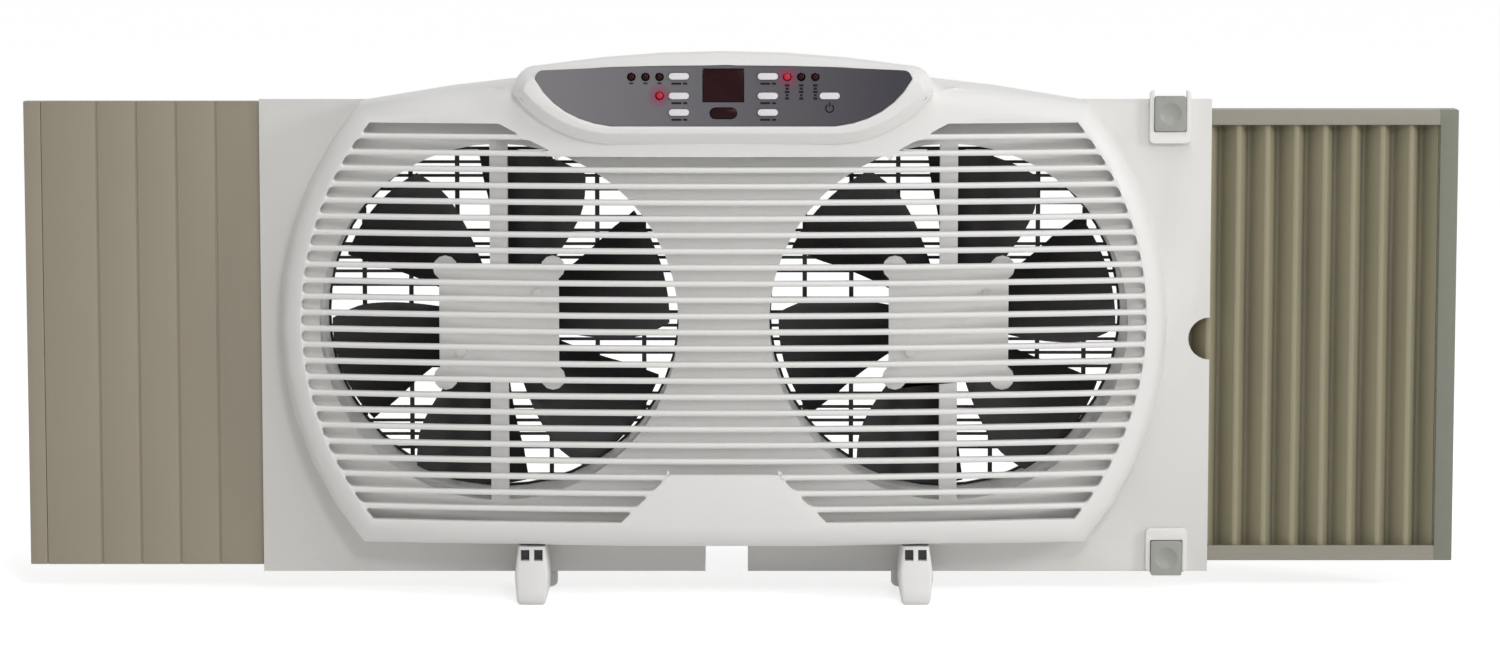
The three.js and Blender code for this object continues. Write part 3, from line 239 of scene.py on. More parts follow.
def brushed_metal(name, tone, roughness):
    """Ground or rolled steel with fine lines across one axis."""
    shader = Shader(name)
    lines = shader.noise(900, 2, (1, 1, 12))
    shader.set("Base Color", shader.mix(lines, tinted(tone, 0.82), tinted(tone, 1.12)))
    shader.set("Roughness", lines * 0.15 + (roughness - 0.07))
    shader.set("Metallic", 1.0)
    shader.bump(lines, 0.02 * MM)
    return shader


def extruded_vinyl(name, tone, roughness, stretch, folds=None, end=None):
    """Extruded vinyl: lines in the direction it was drawn, a drift of tone, painted shade deep in any folds, and
    an end section, from a place across, in its own tone."""
    shader = Shader(name)
    lines = shader.noise(700, 3, stretch)
    cloud = shader.noise(12, 3)
    drifted = shader.mix(cloud, tinted(tone, 0.95), tinted(tone, 1.05))
    if end:
        drifted = shader.mix(shader.along(0) > end[0], drifted, end[1])
    if folds:
        # painted shade: the sheet darkens towards the deep side of its folds, down to 0.34 of its tone
        dust_and_shade = shader.falloff(shader.along(1), *folds)
        drifted = shader.mix(dust_and_shade * dust_and_shade, drifted, tinted(tone, 0.34))
    shader.set("Base Color", shader.mix(lines * 0.25, drifted, tinted(tone, 0.88)))
    shader.set("Roughness", cloud * 0.1 + (roughness - 0.05))
    shader.bump(lines, 0.03 * MM)
    shader.set("IOR", 1.5)
    return shader


def laminated_steel(name, tone):
    """Stacked motor laminations: thin dark lines between the sheets."""
    shader = Shader(name)
    sheets = shader.node(
        "ShaderNodeTexWave", {"bands_direction": "Y"},
        {"Vector": shader.place(), "Scale": 320.0, "Distortion": 0.4, "Detail": 1.0},
    )
    dust_and_shade = shader.noise(160, 3)
    shader.set("Base Color", shader.mix(sheets, tinted(tone, 0.5), shader.mix(dust_and_shade, tone, tinted(tone, 1.2))))
    shader.set("Roughness", dust_and_shade * 0.2 + 0.38)
    shader.set("Metallic", 1.0)
    shader.bump(sheets, 0.05 * MM)
    return shader


def varnished_winding(name, tone):
    """Copper winding under varnished tape."""
    shader = Shader(name)
    wires = shader.node(
        "ShaderNodeTexWave", {"bands_direction": "X"},
        {"Vector": shader.place(), "Scale": 420.0, "Distortion": 1.5, "Detail": 2.0},
    )
    shader.set("Base Color", shader.mix(wires, tinted(tone, 0.6), tinted(tone, 1.15)))
    shader.set("Roughness", wires * 0.2 + 0.3)
    shader.bump(wires, 0.08 * MM)
    return shader


def metallic_overlay(name, tone):
    """Control overlay: a fine metallic fleck in satin, with painted light: a painted reflection that makes it
    lighter at the left and painted shade that darkens it to the right, and a painted red glow round the lit lamps.
    """
    shader = Shader(name)
    fleck = shader.noise(2600, 2)
    # painted light: the overlay runs from a lighter tone at the left to a dark, purplish one at the right, a
    # painted reflection and shade
    painted_shade_share = shader.falloff(shader.along(0), HOUSING_X - FASCIA_PAINTED_SHADE_REACH, HOUSING_X + FASCIA_PAINTED_SHADE_REACH)
    base = shader.mix(painted_shade_share, tinted(tone, 1.3), (tone[0] * 0.2, tone[1] * 0.185, tone[2] * 0.25))
    # painted glow: the overlay is tinted red round the lit lamps, standing in for their light falling on it
    painted_lamp_glow = shader.falloff(shader.nearest_lamp(), 2.5 * MM, 9 * MM, 0.9, 0.0)
    tinged = shader.mix(painted_lamp_glow, base, (0.3, 0.01, 0.08))
    shader.set("Base Color", shader.mix(fleck * 0.12, tinged, tinted(tone, 1.4)))
    shader.set("Roughness", fleck * 0.15 + 0.36)
    shader.set_all(IOR=1.5, Specular_IOR_Level=0.3)
    shader.bump(fleck, 0.01 * MM)
    return shader


def smoked_lens(name, tone):
    """Dark red lens."""
    shader = Shader(name)
    depth = shader.noise(60, 2)
    shader.set("Base Color", shader.mix(depth, tinted(tone, 0.5), tinted(tone, 0.9)))
    shader.set_all(Roughness=0.25, IOR=1.45, Specular_IOR_Level=0.1)
    return shader


def lit_lens(name, tone):
    """Lit lamp lens: an orange core that falls off to deep red at the rim."""
    shader = smoked_lens(name, tone)
    core = shader.falloff(shader.nearest_lamp(), 1.7 * MM, 3.1 * MM, 1.0, 0.0)
    shader.set("Emission Color", shader.mix(core * core, (0.06, 0.0, 0.008), (1.0, 0.22, 0.06)))
    shader.set("Emission Strength", 1.0)
    return shader


def circuit_board(name, tone):
    """Solder mask with faint tracks."""
    shader = Shader(name)
    tracks = shader.node(
        "ShaderNodeTexBrick", {"offset": 0.5},
        {"Vector": shader.place(), "Scale": 90.0, "Color1": (*tone, 1), "Color2": (*tinted(tone, 1.3), 1),
         "Mortar": (*tinted(tone, 2.2), 1), "Mortar Size": 0.03},
    )
    shader.set("Base Color", tracks)
    shader.set("Roughness", shader.noise(200, 2) * 0.2 + 0.3)
    return shader


def printed_mark(name, tone):
    """Printed marks on the overlay."""
    shader = Shader(name)
    worn = shader.noise(900, 2)
    shader.set("Base Color", shader.mix(worn, tone, tinted(tone, 1.25)))
    shader.set("Roughness", worn * 0.1 + 0.4)
    shader.set("Specular IOR Level", 0.1)
    return shader


def slot_tone(slot):
    """The record's colour of a material slot."""
    return SLOTS[slot]["base_color"][:3]


MATERIALS = {}
RAIL_TINT = (1.45, 1.3, 1.4)
# Half the width over which the control overlay's painted reflection and shade run from light to dark
FASCIA_PAINTED_SHADE_REACH = 110 * MM


def make_materials(colours):
    """One finish for every kind of surface."""
    tones = {key: tuple(getattr(colours, key)) for key in WindowFanColours.__annotations__}
    made = {
        "housing": moulded_plastic("Housing plastic", tones["housing"], 0.42),
        "flange": moulded_plastic("Flange plastic", tinted(tones["flange"], 0.93), 0.5),
        # The shroud's tone is raised by 1.25 as painted light, standing in for the light that reaches it behind
        # the louvres
        "shroud": moulded_plastic("Shroud plastic", tinted(tones["shroud"], 1.25), 0.5),
        "blades": moulded_plastic("Blade plastic", tones["blades"], 0.38, depth=0.01),
        "grille": moulded_plastic("Grille plastic", tones["grille"], 0.4, depth=0.01),
        "buttons": moulded_plastic("Button plastic", tones["buttons"], 0.38, depth=0.01),
        "locks": moulded_plastic("Lock plastic", tones["locks"], 0.42),
        "feet": moulded_plastic("Foot plastic", tones["feet"], 0.45),
        "module": moulded_plastic("Module plastic", slot_tone("module_black"), 0.5),
        "gland": moulded_plastic("Gland rubber", slot_tone("gland_black"), 0.7, grain=900),
        "panel": extruded_vinyl("Panel vinyl", tinted(tones["panel"], 1.04), 0.55, (1, 1, 0.02)),
        "frame": extruded_vinyl(
            "Frame vinyl", tuple(a * b for a, b in zip(tones["sliding_frame"], RAIL_TINT)),
            0.48, (0.02, 1, 1),
            end=(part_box("pleated_curtain")[1].x, tinted(tones["sliding_frame"], 0.88)),
        ),
        # The curtain's folds carry painted shade on their deep side
        "curtain": extruded_vinyl(
            "Curtain vinyl", tones["curtain"], 0.62, (1, 1, 0.05),
            folds=[corner.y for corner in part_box("pleated_curtain")],
        ),
        "fascia": metallic_overlay("Control overlay", tones["fascia"]),
        "lens": smoked_lens("Smoked lens", slot_tone("smoked_lens")),
        "lamp_dark": smoked_lens("Dark lamp", slot_tone("lamp_dark")),
        "lamp_lit": lit_lens("Lit lamp", slot_tone("lamp_lit")),
        "screw": brushed_metal("Screw steel", slot_tone("screw_steel"), 0.35),
        "shaft": brushed_metal("Shaft steel", slot_tone("shaft_steel"), 0.25),
        "motor": laminated_steel("Motor steel", slot_tone("motor_steel")),
        "coil": varnished_winding("Coil tape", slot_tone("coil_tape")),
        "board": circuit_board("Board", slot_tone("board_green")),
        "mark": printed_mark("Printed mark", (0.016, 0.01, 0.016)),
        "ghost": printed_mark("Unlit segment", (0.02, 0.002, 0.004)),
    }
    MATERIALS.update({key: shader.material for key, shader in made.items()})


# ---------------------------------------------------------------- mesh helpers


def add_box(bm, low, high):
    """A box between two corners."""
    size = [top - bottom for bottom, top in zip(low, high)]
    middle = [(top + bottom) / 2 for bottom, top in zip(low, high)]
    bmesh.ops.create_cube(bm, size=1, matrix=Matrix.Translation(middle) @ Matrix.Diagonal((*size, 1)))


def extrude(bm, corners, way):
    """A closed solid: a flat outline and its copy some way off."""
    face = bm.faces.new([bm.verts.new(corner) for corner in corners])
    grown = bmesh.ops.extrude_face_region(bm, geom=[face], use_keep_orig=True)["geom"]
    moved = [item for item in grown if isinstance(item, bmesh.types.BMVert)]
    bmesh.ops.translate(bm, verts=moved, vec=way)


def add_prism(bm, outline, y):
    """An outline in X and Z, extruded between two depths."""
    extrude(bm, [(x, y[0], z) for x, z in outline], (0, y[1] - y[0], 0))


def add_turned(bm, profile, centre, steps, axis=(0, 1, 0)):
    """A profile of (radius, distance along the axis) turned about an axis through a point."""
    axis = Vector(axis)
    across = Vector((1, 0, 0)) if abs(axis.x) < 0.5 else Vector((0, 0, 1))
    points = [Vector(centre) + across * radius + axis * along for radius, along in profile]
    verts = [bm.verts.new(point) for point in points]
    edges = [bm.edges.new(pair) for pair in zip(verts, verts[1:])]
    bmesh.ops.spin(
        bm, geom=verts + edges, cent=centre, axis=axis, angle=2 * math.pi, steps=steps, use_merge=True
    )
    bmesh.ops.remove_doubles(bm, verts=bm.verts, dist=1e-7)


def tidy(bm):
    """Merges doubles and points every shell's faces outwards."""
    bmesh.ops.remove_doubles(bm, verts=bm.verts, dist=1e-6)
    bmesh.ops.recalc_face_normals(bm, faces=bm.faces)
    return bm


def object_of(name, bm):
    mesh = bpy.data.meshes.new(name)
    bm.to_mesh(mesh)
    bm.free()
    made = bpy.data.objects.new(name, mesh)
    bpy.context.scene.collection.objects.link(made)
    return made


def combined(piece, other, operation):
    """Cuts, joins or meets a piece with a bmesh, and keeps the result as the piece's mesh."""
    tool = object_of("tool", tidy(other))
    modifier = piece.modifiers.new("combine", "BOOLEAN")
    modifier.operation = operation
    modifier.solver = "EXACT"
    modifier.object = tool
    bpy.context.view_layer.update()
    result = bpy.data.meshes.new_from_object(piece.evaluated_get(bpy.context.evaluated_depsgraph_get()))
    piece.modifiers.remove(modifier)
    before, piece.data = piece.data, result
    bpy.data.meshes.remove(before)
    bpy.data.objects.remove(tool)
    return piece


def finish_piece(piece, body, slot, finish, replaces=(), bevel=0.0, segments=2, angle=35):
    """Gives a piece its material, its body, its smooth shading and its rounded edges."""
    bm = bmesh.new()
    bm.from_mesh(piece.data)
    limit = math.radians(angle)
    for face in bm.faces:
        face.smooth = True
    for edge in bm.edges:
        sharp = len(edge.link_faces) != 2 or edge.calc_face_angle(0) > limit
        edge.smooth = bevel > 0 or not sharp
    bm.to_mesh(piece.data)
    bm.free()
    if bevel:
        rounding = piece.modifiers.new("Rounded edges", "BEVEL")
        rounding.width = bevel
        rounding.segments = segments
        rounding.limit_method = "ANGLE"
        rounding.angle_limit = limit
        rounding.harden_normals = True
        rounding.use_clamp_overlap = True
    piece.data.materials.clear()
    piece.data.materials.append(MATERIALS[finish])
    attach(piece, body)
    if replaces:
        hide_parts(*replaces)
    return piece


def make_piece(name, bm, body, slot, finish, **options):
    """A finished piece from a bmesh."""
    return finish_piece(object_of(name, tidy(bm)), body, slot, finish, **options)


def copy_of(node):
    """A bmesh of a frame node, with its loose triangles merged and its flat faces whole."""
    bm = bmesh.new()
    bm.from_mesh(frame["nodes"][node].data)
    bmesh.ops.remove_doubles(bm, verts=bm.verts, dist=1e-6)
    bmesh.ops.dissolve_limit(
        bm, angle_limit=math.radians(1), use_dissolve_boundaries=False, verts=bm.verts, edges=bm.edges
    )
    return bm


def arc(centre, radius, start, end, steps):
    """Points in X and Z on an arc; angles in degrees."""
    angles = [math.radians(start + (end - start) * step / steps) for step in range(steps + 1)]
    return [(centre[0] + radius * math.cos(a), centre[1] + radius * math.sin(a)) for a in angles]


def middle_of(node):
    """The middle of a frame node's box."""
    low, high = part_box(node)
    return (low + high) / 2


FLANGE_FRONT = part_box("window_flange")[0].y
HOUSING_X = middle_of("front_housing").x
FAN_AXES = {side: Vector(JOINTS[f"{side}_fan_spin"]["pos_m"]) for side in ("left", "right")}
AXIS_Z = FAN_AXES["left"].z
BODY_OF = {node: body for body, nodes in frame["record"]["behaviour"]["bodies"].items() for node in nodes}
SLOT_OF = {part["node"]: part["material_slot"] for part in frame["record"]["subparts"]}


def dressed(node, finish, bevel, segments=2):
    """A frame node's own shape with rounded edges and a finish, standing for that node."""
    return finish_piece(
        object_of(f"{node}_dressed", copy_of(node)), BODY_OF[node], SLOT_OF[node], finish,
        replaces=(node,), bevel=bevel * MM, segments=segments,
    )


def new_piece(node, bm, finish, angle, bevel=0.0):
    """A new shape that stands for a frame node."""
    return make_piece(
        f"{node}_shape", bm, BODY_OF[node], SLOT_OF[node], finish,
        replaces=(node,), bevel=bevel * MM, angle=angle,
    )


def on_node(name, node, bm, finish, bevel=0.0, slot=None):
    """A detail that rides with a frame node without standing for it."""
    return make_piece(name, bm, BODY_OF[node], slot or SLOT_OF[node], finish, bevel=bevel * MM)


# ---------------------------------------------------------------- fans


BLADES = 6
BLADE_THICKNESS = 1.8 * MM
BLADE_CAMBER = 0.05
ROOT_PITCH, PITCH_DROP = 38, 13
ROOT_HALF_ANGLE, HALF_ANGLE_DROP = 30, 6
TIP_SWEEP = 7
HUB_GAP, HUB_DEPTH = 0.3 * MM, 24 * MM
REST_ANGLE = {"left": 132, "right": 130}


def add_blade(bm, centre, turn, sizes, span_y):
    """One twisted, hollowed blade: a sector of a grid, pitched more at its root than at its tip."""
    along, across = 14, 12
    made = bmesh.ops.create_grid(bm, x_segments=along, y_segments=across, size=0.5)["verts"]
    tip = sizes.duct_radius - sizes.blade_gap - 0.3 * MM
    root = sizes.hub_radius - 1.2 * MM
    middle_y = (span_y[0] + span_y[1]) / 2
    for vert in made:
        out, share = vert.co.x + 0.5, vert.co.y * 2
        radius = root + (tip - root) * out
        half_angle = math.radians(ROOT_HALF_ANGLE - HALF_ANGLE_DROP * out)
        sweep = math.radians(TIP_SWEEP * out ** 2)
        rounding = 1 - 0.10 * max(0, out - 0.75) / 0.25 * share ** 4
        pitch = math.radians(ROOT_PITCH - PITCH_DROP * out)
        chord = radius * math.sin(half_angle) * share * rounding
        camber = BLADE_CAMBER * radius * (1 - share ** 2)
        flat = chord * math.cos(pitch)
        lift = chord * math.sin(pitch) - camber
        angle = math.radians(turn) + sweep + math.asin(max(-1, min(1, flat / radius)))
        vert.co = (centre.x + radius * math.cos(angle), middle_y + lift, centre.z + radius * math.sin(angle))
    faces = list({face for vert in made for face in vert.link_faces})
    bmesh.ops.solidify(bm, geom=faces, thickness=BLADE_THICKNESS)


def add_hub(bm, centre, y, radius):
    """The hub: a rounded cup that opens towards the motor, with a boss round the shaft."""
    front, back = y
    wall, round_edge, boss, bore = 2.5 * MM, 4 * MM, 6.5 * MM, 3.3 * MM
    outside = [(radius - round_edge * (1 - math.cos(a)), back - round_edge * (1 - math.sin(a)))
               for a in (math.radians(15 * step) for step in range(7))]
    profile = (
        [(bore, back), (boss, back), (boss + 1.5 * MM, back - 0.4 * MM)]
        + outside[::-1]
        + [(radius, front), (radius - wall, front), (radius - wall, back - wall), (boss, back - wall),
           (boss, front), (bore, front), (bore, back)]
    )
    add_turned(bm, [(r, along - centre.y) for r, along in profile], centre, steps=72)


class WINDOWFAN_OT_fans(bpy.types.Operator):
    """Both fans: twisted blades on a cup hub"""

    bl_idname = "window_fan.fans"
    bl_label = "Fans"

    def execute(self, context):
        sizes = context.scene.window_fan_sizes
        for side, centre in FAN_AXES.items():
            node = f"fan_blade_{side}"
            low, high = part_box(node)
            bm = bmesh.new()
            for turn in range(BLADES):
                add_blade(bm, centre, REST_ANGLE[side] + turn * 360 / BLADES, sizes, (low.y, high.y))
            hub_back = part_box(f"blade_clip_{side}")[0].y - HUB_GAP
            add_hub(bm, centre, (hub_back - HUB_DEPTH, hub_back), sizes.hub_radius)
            new_piece(node, bm, "blades", bevel=0.5, angle=40)
        return {"FINISHED"}


# ---------------------------------------------------------------- rear grilles


class WINDOWFAN_OT_grilles(bpy.types.Operator):
    """Rear grilles: a rim, fine bars across and deeper ribs"""

    bl_idname = "window_fan.grilles"
    bl_label = "Rear grilles"

    def execute(self, context):
        for side in FAN_AXES:
            dressed(f"rear_grille_{side}", "grille", bevel=0)
        return {"FINISHED"}


# ---------------------------------------------------------------- motors


class WINDOWFAN_OT_motors(bpy.types.Operator):
    """Motors: laminations, windings, screws, shafts and clips"""

    bl_idname = "window_fan.motors"
    bl_label = "Motors"

    def execute(self, context):
        for side in FAN_AXES:
            dressed(f"motor_{side}", "motor", bevel=0.6)
            dressed(f"motor_coil_{side}", "coil", bevel=2.0, segments=4)
            dressed(f"rotor_shaft_{side}", "shaft", bevel=0.4)
            dressed(f"blade_clip_{side}", "screw", bevel=0.4)
            for end in ("upper", "lower"):
                dressed(f"motor_screw_{side}_{end}", "shroud", bevel=0.5)
        return {"FINISHED"}


# ---------------------------------------------------------------- housings


LOUVRE_ROWS = 12
LOUVRE_MIDDLE = AXIS_Z + 2.5 * MM
LOUVRE_ARC = {"centre": 71 * MM, "radius": 204 * MM}
NAME_SLATS = 3
NAME_HALF_WIDTH = 42 * MM
POD_SLATS = 2
POD_HALF_WIDTH = 118 * MM
POD_STEP = 20 * MM
SLAT_EMBED = 1.6 * MM
SLAT_BACK = 0.25 * MM
SLOT_CORNER = 2.8 * MM
SLAT_NOSE = 1.5 * MM
SLAT_TAIL = 0.5 * MM
NAME_RETURN, POD_RETURN = 0.7, 0.3
CUTTER_FRONT, CUTTER_BACK = 75 * MM, 14 * MM
MERGE_REACH = 0.25 * MM
OUTLINE_REACH = 0.3 * MM
RIM_REACH = 0.2 * MM
BORDER_ROUNDING = 1.1 * MM
RIM_ROUNDING = 1.3 * MM
RIM_AHEAD = 0.6 * MM


def front_y(sizes, x):
    """Depth of the front face at a place across."""
    return FLANGE_FRONT - sizes.front_depth + (x - HOUSING_X) ** 2 / (2 * sizes.front_radius)


def outer_end(z):
    """Half width of the louvred area at a height."""
    return LOUVRE_ARC["centre"] + math.sqrt(LOUVRE_ARC["radius"] ** 2 - (z - LOUVRE_MIDDLE) ** 2)


def inner_end(sizes, z):
    """Where the louvres stop beside the name panel, below, and beside the pod, above; 0 in between."""
    row = (z - LOUVRE_MIDDLE) / sizes.louvre_pitch
    lowest_whole = LOUVRE_ROWS - NAME_SLATS + 1
    if row < NAME_RETURN - lowest_whole:
        return NAME_HALF_WIDTH - (row + lowest_whole) * sizes.louvre_pitch
    if row > LOUVRE_ROWS - POD_SLATS + POD_RETURN:
        return POD_HALF_WIDTH + (row - LOUVRE_ROWS + POD_SLATS - 1) * POD_STEP
    return 0


def louvre_area(sizes):
    """Outline of the louvred area, seen from the front."""
    half_gap = sizes.louvre_gap / 2
    reach = LOUVRE_ROWS * sizes.louvre_pitch + half_gap
    top, bottom = LOUVRE_MIDDLE + reach, LOUVRE_MIDDLE - reach
    steps = 60
    heights = [bottom + (top - bottom) * step / steps for step in range(steps + 1)]
    pod_z = LOUVRE_MIDDLE + (LOUVRE_ROWS - POD_SLATS) * sizes.louvre_pitch + half_gap
    name_z = LOUVRE_MIDDLE - (LOUVRE_ROWS - NAME_SLATS) * sizes.louvre_pitch - half_gap
    over = [(inner_end(sizes, top), top), (inner_end(sizes, pod_z + 3.5 * MM), pod_z)]
    under = [(inner_end(sizes, name_z - 3.5 * MM) - 3.5 * MM, name_z), (inner_end(sizes, bottom), bottom)]
    half = under + [(outer_end(z), z) for z in heights] + over
    return [(HOUSING_X + x, z) for x, z in half + [(-x, z) for x, z in reversed(half)]]


def slat_profile(half_height, depth):
    """Section of a slat as (back from the front, up) points: a round nose and squarer back corners."""
    nose, tail = min(SLAT_NOSE, half_height), SLAT_TAIL
    corners = [(nose, half_height - nose, nose, 90), (nose, nose - half_height, nose, 180),
               (depth - tail, tail - half_height, tail, 270), (depth - tail, half_height - tail, tail, 0)]
    points = []
    for back, up, radius, start in corners:
        points += arc((back, up), radius, start, start + 90, 3)
    return points


def slat_half_height(sizes, from_end):
    """Half height of a slat, which widens into the frame round the corners of its slots."""
    plain = (sizes.louvre_pitch - sizes.louvre_gap) / 2
    if from_end >= SLOT_CORNER:
        return plain
    into = SLOT_CORNER - max(from_end, 0.02 * MM)
    return plain + SLOT_CORNER - math.sqrt(SLOT_CORNER ** 2 - into ** 2)


def slat_stations(length):
    """Distances along a slat, close together at its rounded ends."""
    near = [-SLAT_EMBED, 0.02 * MM, 0.25 * MM, 0.6 * MM, 1.1 * MM, 1.8 * MM, SLOT_CORNER]
    steps = max(2, round(length / (14 * MM)))
    middle = [SLOT_CORNER + (length - 2 * SLOT_CORNER) * step / steps for step in range(1, steps)]
    return near + middle + [length - distance for distance in reversed(near)]


def add_slat(bm, sizes, height, side):
    """One louvre, right across or on one side: a grid rolled into a bar that follows the front face."""
    half_slat = (sizes.louvre_pitch - sizes.louvre_gap) / 2
    inner = inner_end(sizes, height) if side else 0
    length = 2 * outer_end(height) if not side else outer_end(height) - inner
    stations = slat_stations(length)
    points = len(slat_profile(half_slat, sizes.slat_depth))
    grid = bmesh.ops.create_grid(bm, x_segments=len(stations) - 1, y_segments=points, size=0.5)["verts"]
    for vert in grid:
        station = stations[round((vert.co.x + 0.5) * (len(stations) - 1))]
        corner = round((vert.co.y + 0.5) * points) % points
        from_end = min(station, length - station)
        back, up = slat_profile(slat_half_height(sizes, from_end), sizes.slat_depth)[corner]
        z = height + up
        if side:
            start, end = inner_end(sizes, z) or inner, outer_end(z)
        else:
            start, end = -outer_end(z), outer_end(z)
        share = station / length
        across = start + (end - start) * share
        x = HOUSING_X + across * (side or 1)
        vert.co = (x, front_y(sizes, x) + SLAT_BACK + back * (1 - SLAT_BACK / sizes.slat_depth), z)
    bmesh.ops.remove_doubles(bm, verts=grid, dist=1e-6)


def add_slats(bm, sizes):
    """Every louvre, closed at its ends."""
    for row in range(-LOUVRE_ROWS, LOUVRE_ROWS):
        height = LOUVRE_MIDDLE + (row + 0.5) * sizes.louvre_pitch
        sides = (-1, 1) if inner_end(sizes, height) else (0,)
        for side in sides:
            add_slat(bm, sizes, height, side)
    ends = [edge for edge in bm.edges if len(edge.link_faces) == 1]
    bmesh.ops.holes_fill(bm, edges=ends)


def near_outline(point, outline, reach):
    """Whether a point lies on an outline, seen from the front."""
    spot = Vector((point.x, point.z))
    for start, end in zip(outline, outline[1:] + outline[:1]):
        a, b = Vector(start), Vector(end)
        along = max(0, min(1, (spot - a).dot(b - a) / (b - a).length_squared))
        if (a + (b - a) * along - spot).length < reach:
            return True
    return False


def round_over(bm, edges, offset, segments=3):
    """Rounds edges in the mesh itself."""
    bmesh.ops.bevel(
        bm, geom=edges, offset=offset, offset_type="OFFSET", segments=segments, profile=0.5,
        affect="EDGES", clamp_overlap=True, material=-1,
    )


class WINDOWFAN_OT_front_housing(bpy.types.Operator):
    """Bulged front with its louvres and the seat of the control pod"""

    bl_idname = "window_fan.front_housing"
    bl_label = "Front housing"

    def execute(self, context):
        sizes = context.scene.window_fan_sizes
        outline = louvre_area(sizes)
        cutter = bmesh.new()
        add_prism(cutter, outline, (FLANGE_FRONT - CUTTER_FRONT, FLANGE_FRONT - CUTTER_BACK))
        frame_part = combined(object_of("front_frame", copy_of("front_housing")), cutter, "DIFFERENCE")
        bm = bmesh.new()
        bm.from_mesh(frame_part.data)
        bpy.data.objects.remove(frame_part)
        bmesh.ops.remove_doubles(bm, verts=bm.verts, dist=MERGE_REACH)
        bmesh.ops.dissolve_limit(
            bm, angle_limit=math.radians(0.5), use_dissolve_boundaries=False, verts=bm.verts, edges=bm.edges
        )
        border = [
            edge for edge in bm.edges
            if len(edge.link_faces) == 2 and edge.calc_face_angle(0) > math.radians(40)
            and min(face.normal.y for face in edge.link_faces) < -0.75
            and all(near_outline(vert.co, outline, OUTLINE_REACH) for vert in edge.verts)
        ]
        round_over(bm, border, BORDER_ROUNDING)
        rim_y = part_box("control_fascia")[0].y - RIM_AHEAD
        rim = [
            edge for edge in bm.edges
            if len(edge.link_faces) == 2 and edge.calc_face_angle(0) > math.radians(30)
            and all(abs(vert.co.y - rim_y) < RIM_REACH for vert in edge.verts)
        ]
        round_over(bm, rim, RIM_ROUNDING)
        add_slats(bm, sizes)
        new_piece("front_housing", bm, "housing", angle=38)
        return {"FINISHED"}


class WINDOWFAN_OT_shroud(bpy.types.Operator):
    """Fan shroud with the ducts, motor plates and struts"""

    bl_idname = "window_fan.shroud"
    bl_label = "Fan shroud"

    def execute(self, context):
        dressed("fan_shroud", "shroud", bevel=0.8, segments=3)
        return {"FINISHED"}


class WINDOWFAN_OT_rear_housing(bpy.types.Operator):
    """Flange, rear box, housing screws and the cord's gland"""

    bl_idname = "window_fan.rear_housing"
    bl_label = "Rear housing"

    def execute(self, context):
        dressed("window_flange", "flange", bevel=1.1, segments=3)
        dressed("rear_housing", "flange", bevel=0.9, segments=3)
        dressed("rear_cover", "flange", bevel=0.9, segments=3)
        for place in ("top_left", "top_right", "bottom_left", "bottom_right"):
            dressed(f"housing_screw_{place}", "screw", bevel=0.6)
        dressed("cord_gland", "gland", bevel=0.5)
        return {"FINISHED"}


# ---------------------------------------------------------------- controls


LAMPS = (
    "lamp_left_status", "lamp_left_1", "lamp_left_2", "lamp_left_3",
    "lamp_right_1", "lamp_right_2", "lamp_right_3",
)
LIT_LAMPS = ("lamp_left_status", "lamp_right_1")
BUTTONS = [f"button_{side}_{row}" for side in ("left", "right") for row in ("top", "middle", "bottom")]
DIGIT_BARS = (
    (0, 1, True), (1, 0.5, False), (1, -0.5, False), (0, -1, True),
    (-1, -0.5, False), (-1, 0.5, False), (0, 0, True),
)
DIGIT_HALF_WIDTH, DIGIT_HALF_HEIGHT, DIGIT_SPREAD = 2.9 * MM, 6 * MM, 5.4 * MM
DIGIT_SLANT = 0.5 * MM


def print_bar(bm, centre, size, y, skew=0.0):
    """A flat printed bar on the overlay."""
    x, z = centre
    width, height = size
    outline = [(x - width / 2 - skew, z - height / 2), (x + width / 2 - skew, z - height / 2),
               (x + width / 2 + skew, z + height / 2), (x - width / 2 + skew, z + height / 2)]
    add_prism(bm, outline, y)


def print_ring(bm, centre, radius, width, y, start, end):
    """A flat printed ring or part of one, between two angles in degrees."""
    steps = 28
    outer = arc(centre, radius, start, end, steps)
    inner = arc(centre, radius - width, start, end, steps)
    for first in range(steps):
        outline = [outer[first], outer[first + 1], inner[first + 1], inner[first]]
        add_prism(bm, outline, y)


def add_marks():
    """Generic printed marks: bars under the buttons and the lamps, and the power ring."""
    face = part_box("control_fascia")[0].y
    y = (face - 0.06 * MM, face + 0.02 * MM)
    bm = bmesh.new()
    for node in BUTTONS:
        low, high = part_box(node)
        x = (low.x + high.x) / 2
        drop = low.z - 1.9 * MM
        print_bar(bm, (x - 1.6 * MM, drop), (6.4 * MM, 1.3 * MM), y)
        print_bar(bm, (x + 4.0 * MM, drop), (2.6 * MM, 1.3 * MM), y)
    for node in LAMPS[1:]:
        low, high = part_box(node)
        x = (low.x + high.x) / 2
        if "left" in node:
            print_bar(bm, (x, low.z - 1.7 * MM), (2.6 * MM, 1.0 * MM), y)
        else:
            for row, width in enumerate((3.0, 2.2, 3.0, 1.6, 2.6)):
                print_bar(bm, (x, low.z - (3.0 + 2.1 * row) * MM), (width * MM, 1.5 * MM), y)
    low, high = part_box("power_button")
    centre = ((low.x + high.x) / 2, low.z - 5.2 * MM)
    print_ring(bm, centre, 3.0 * MM, 0.95 * MM, y, start=122, end=418)
    print_bar(bm, (centre[0], centre[1] + 2.3 * MM), (0.9 * MM, 3.0 * MM), y)
    on_node("control_marks", "control_fascia", bm, "mark")


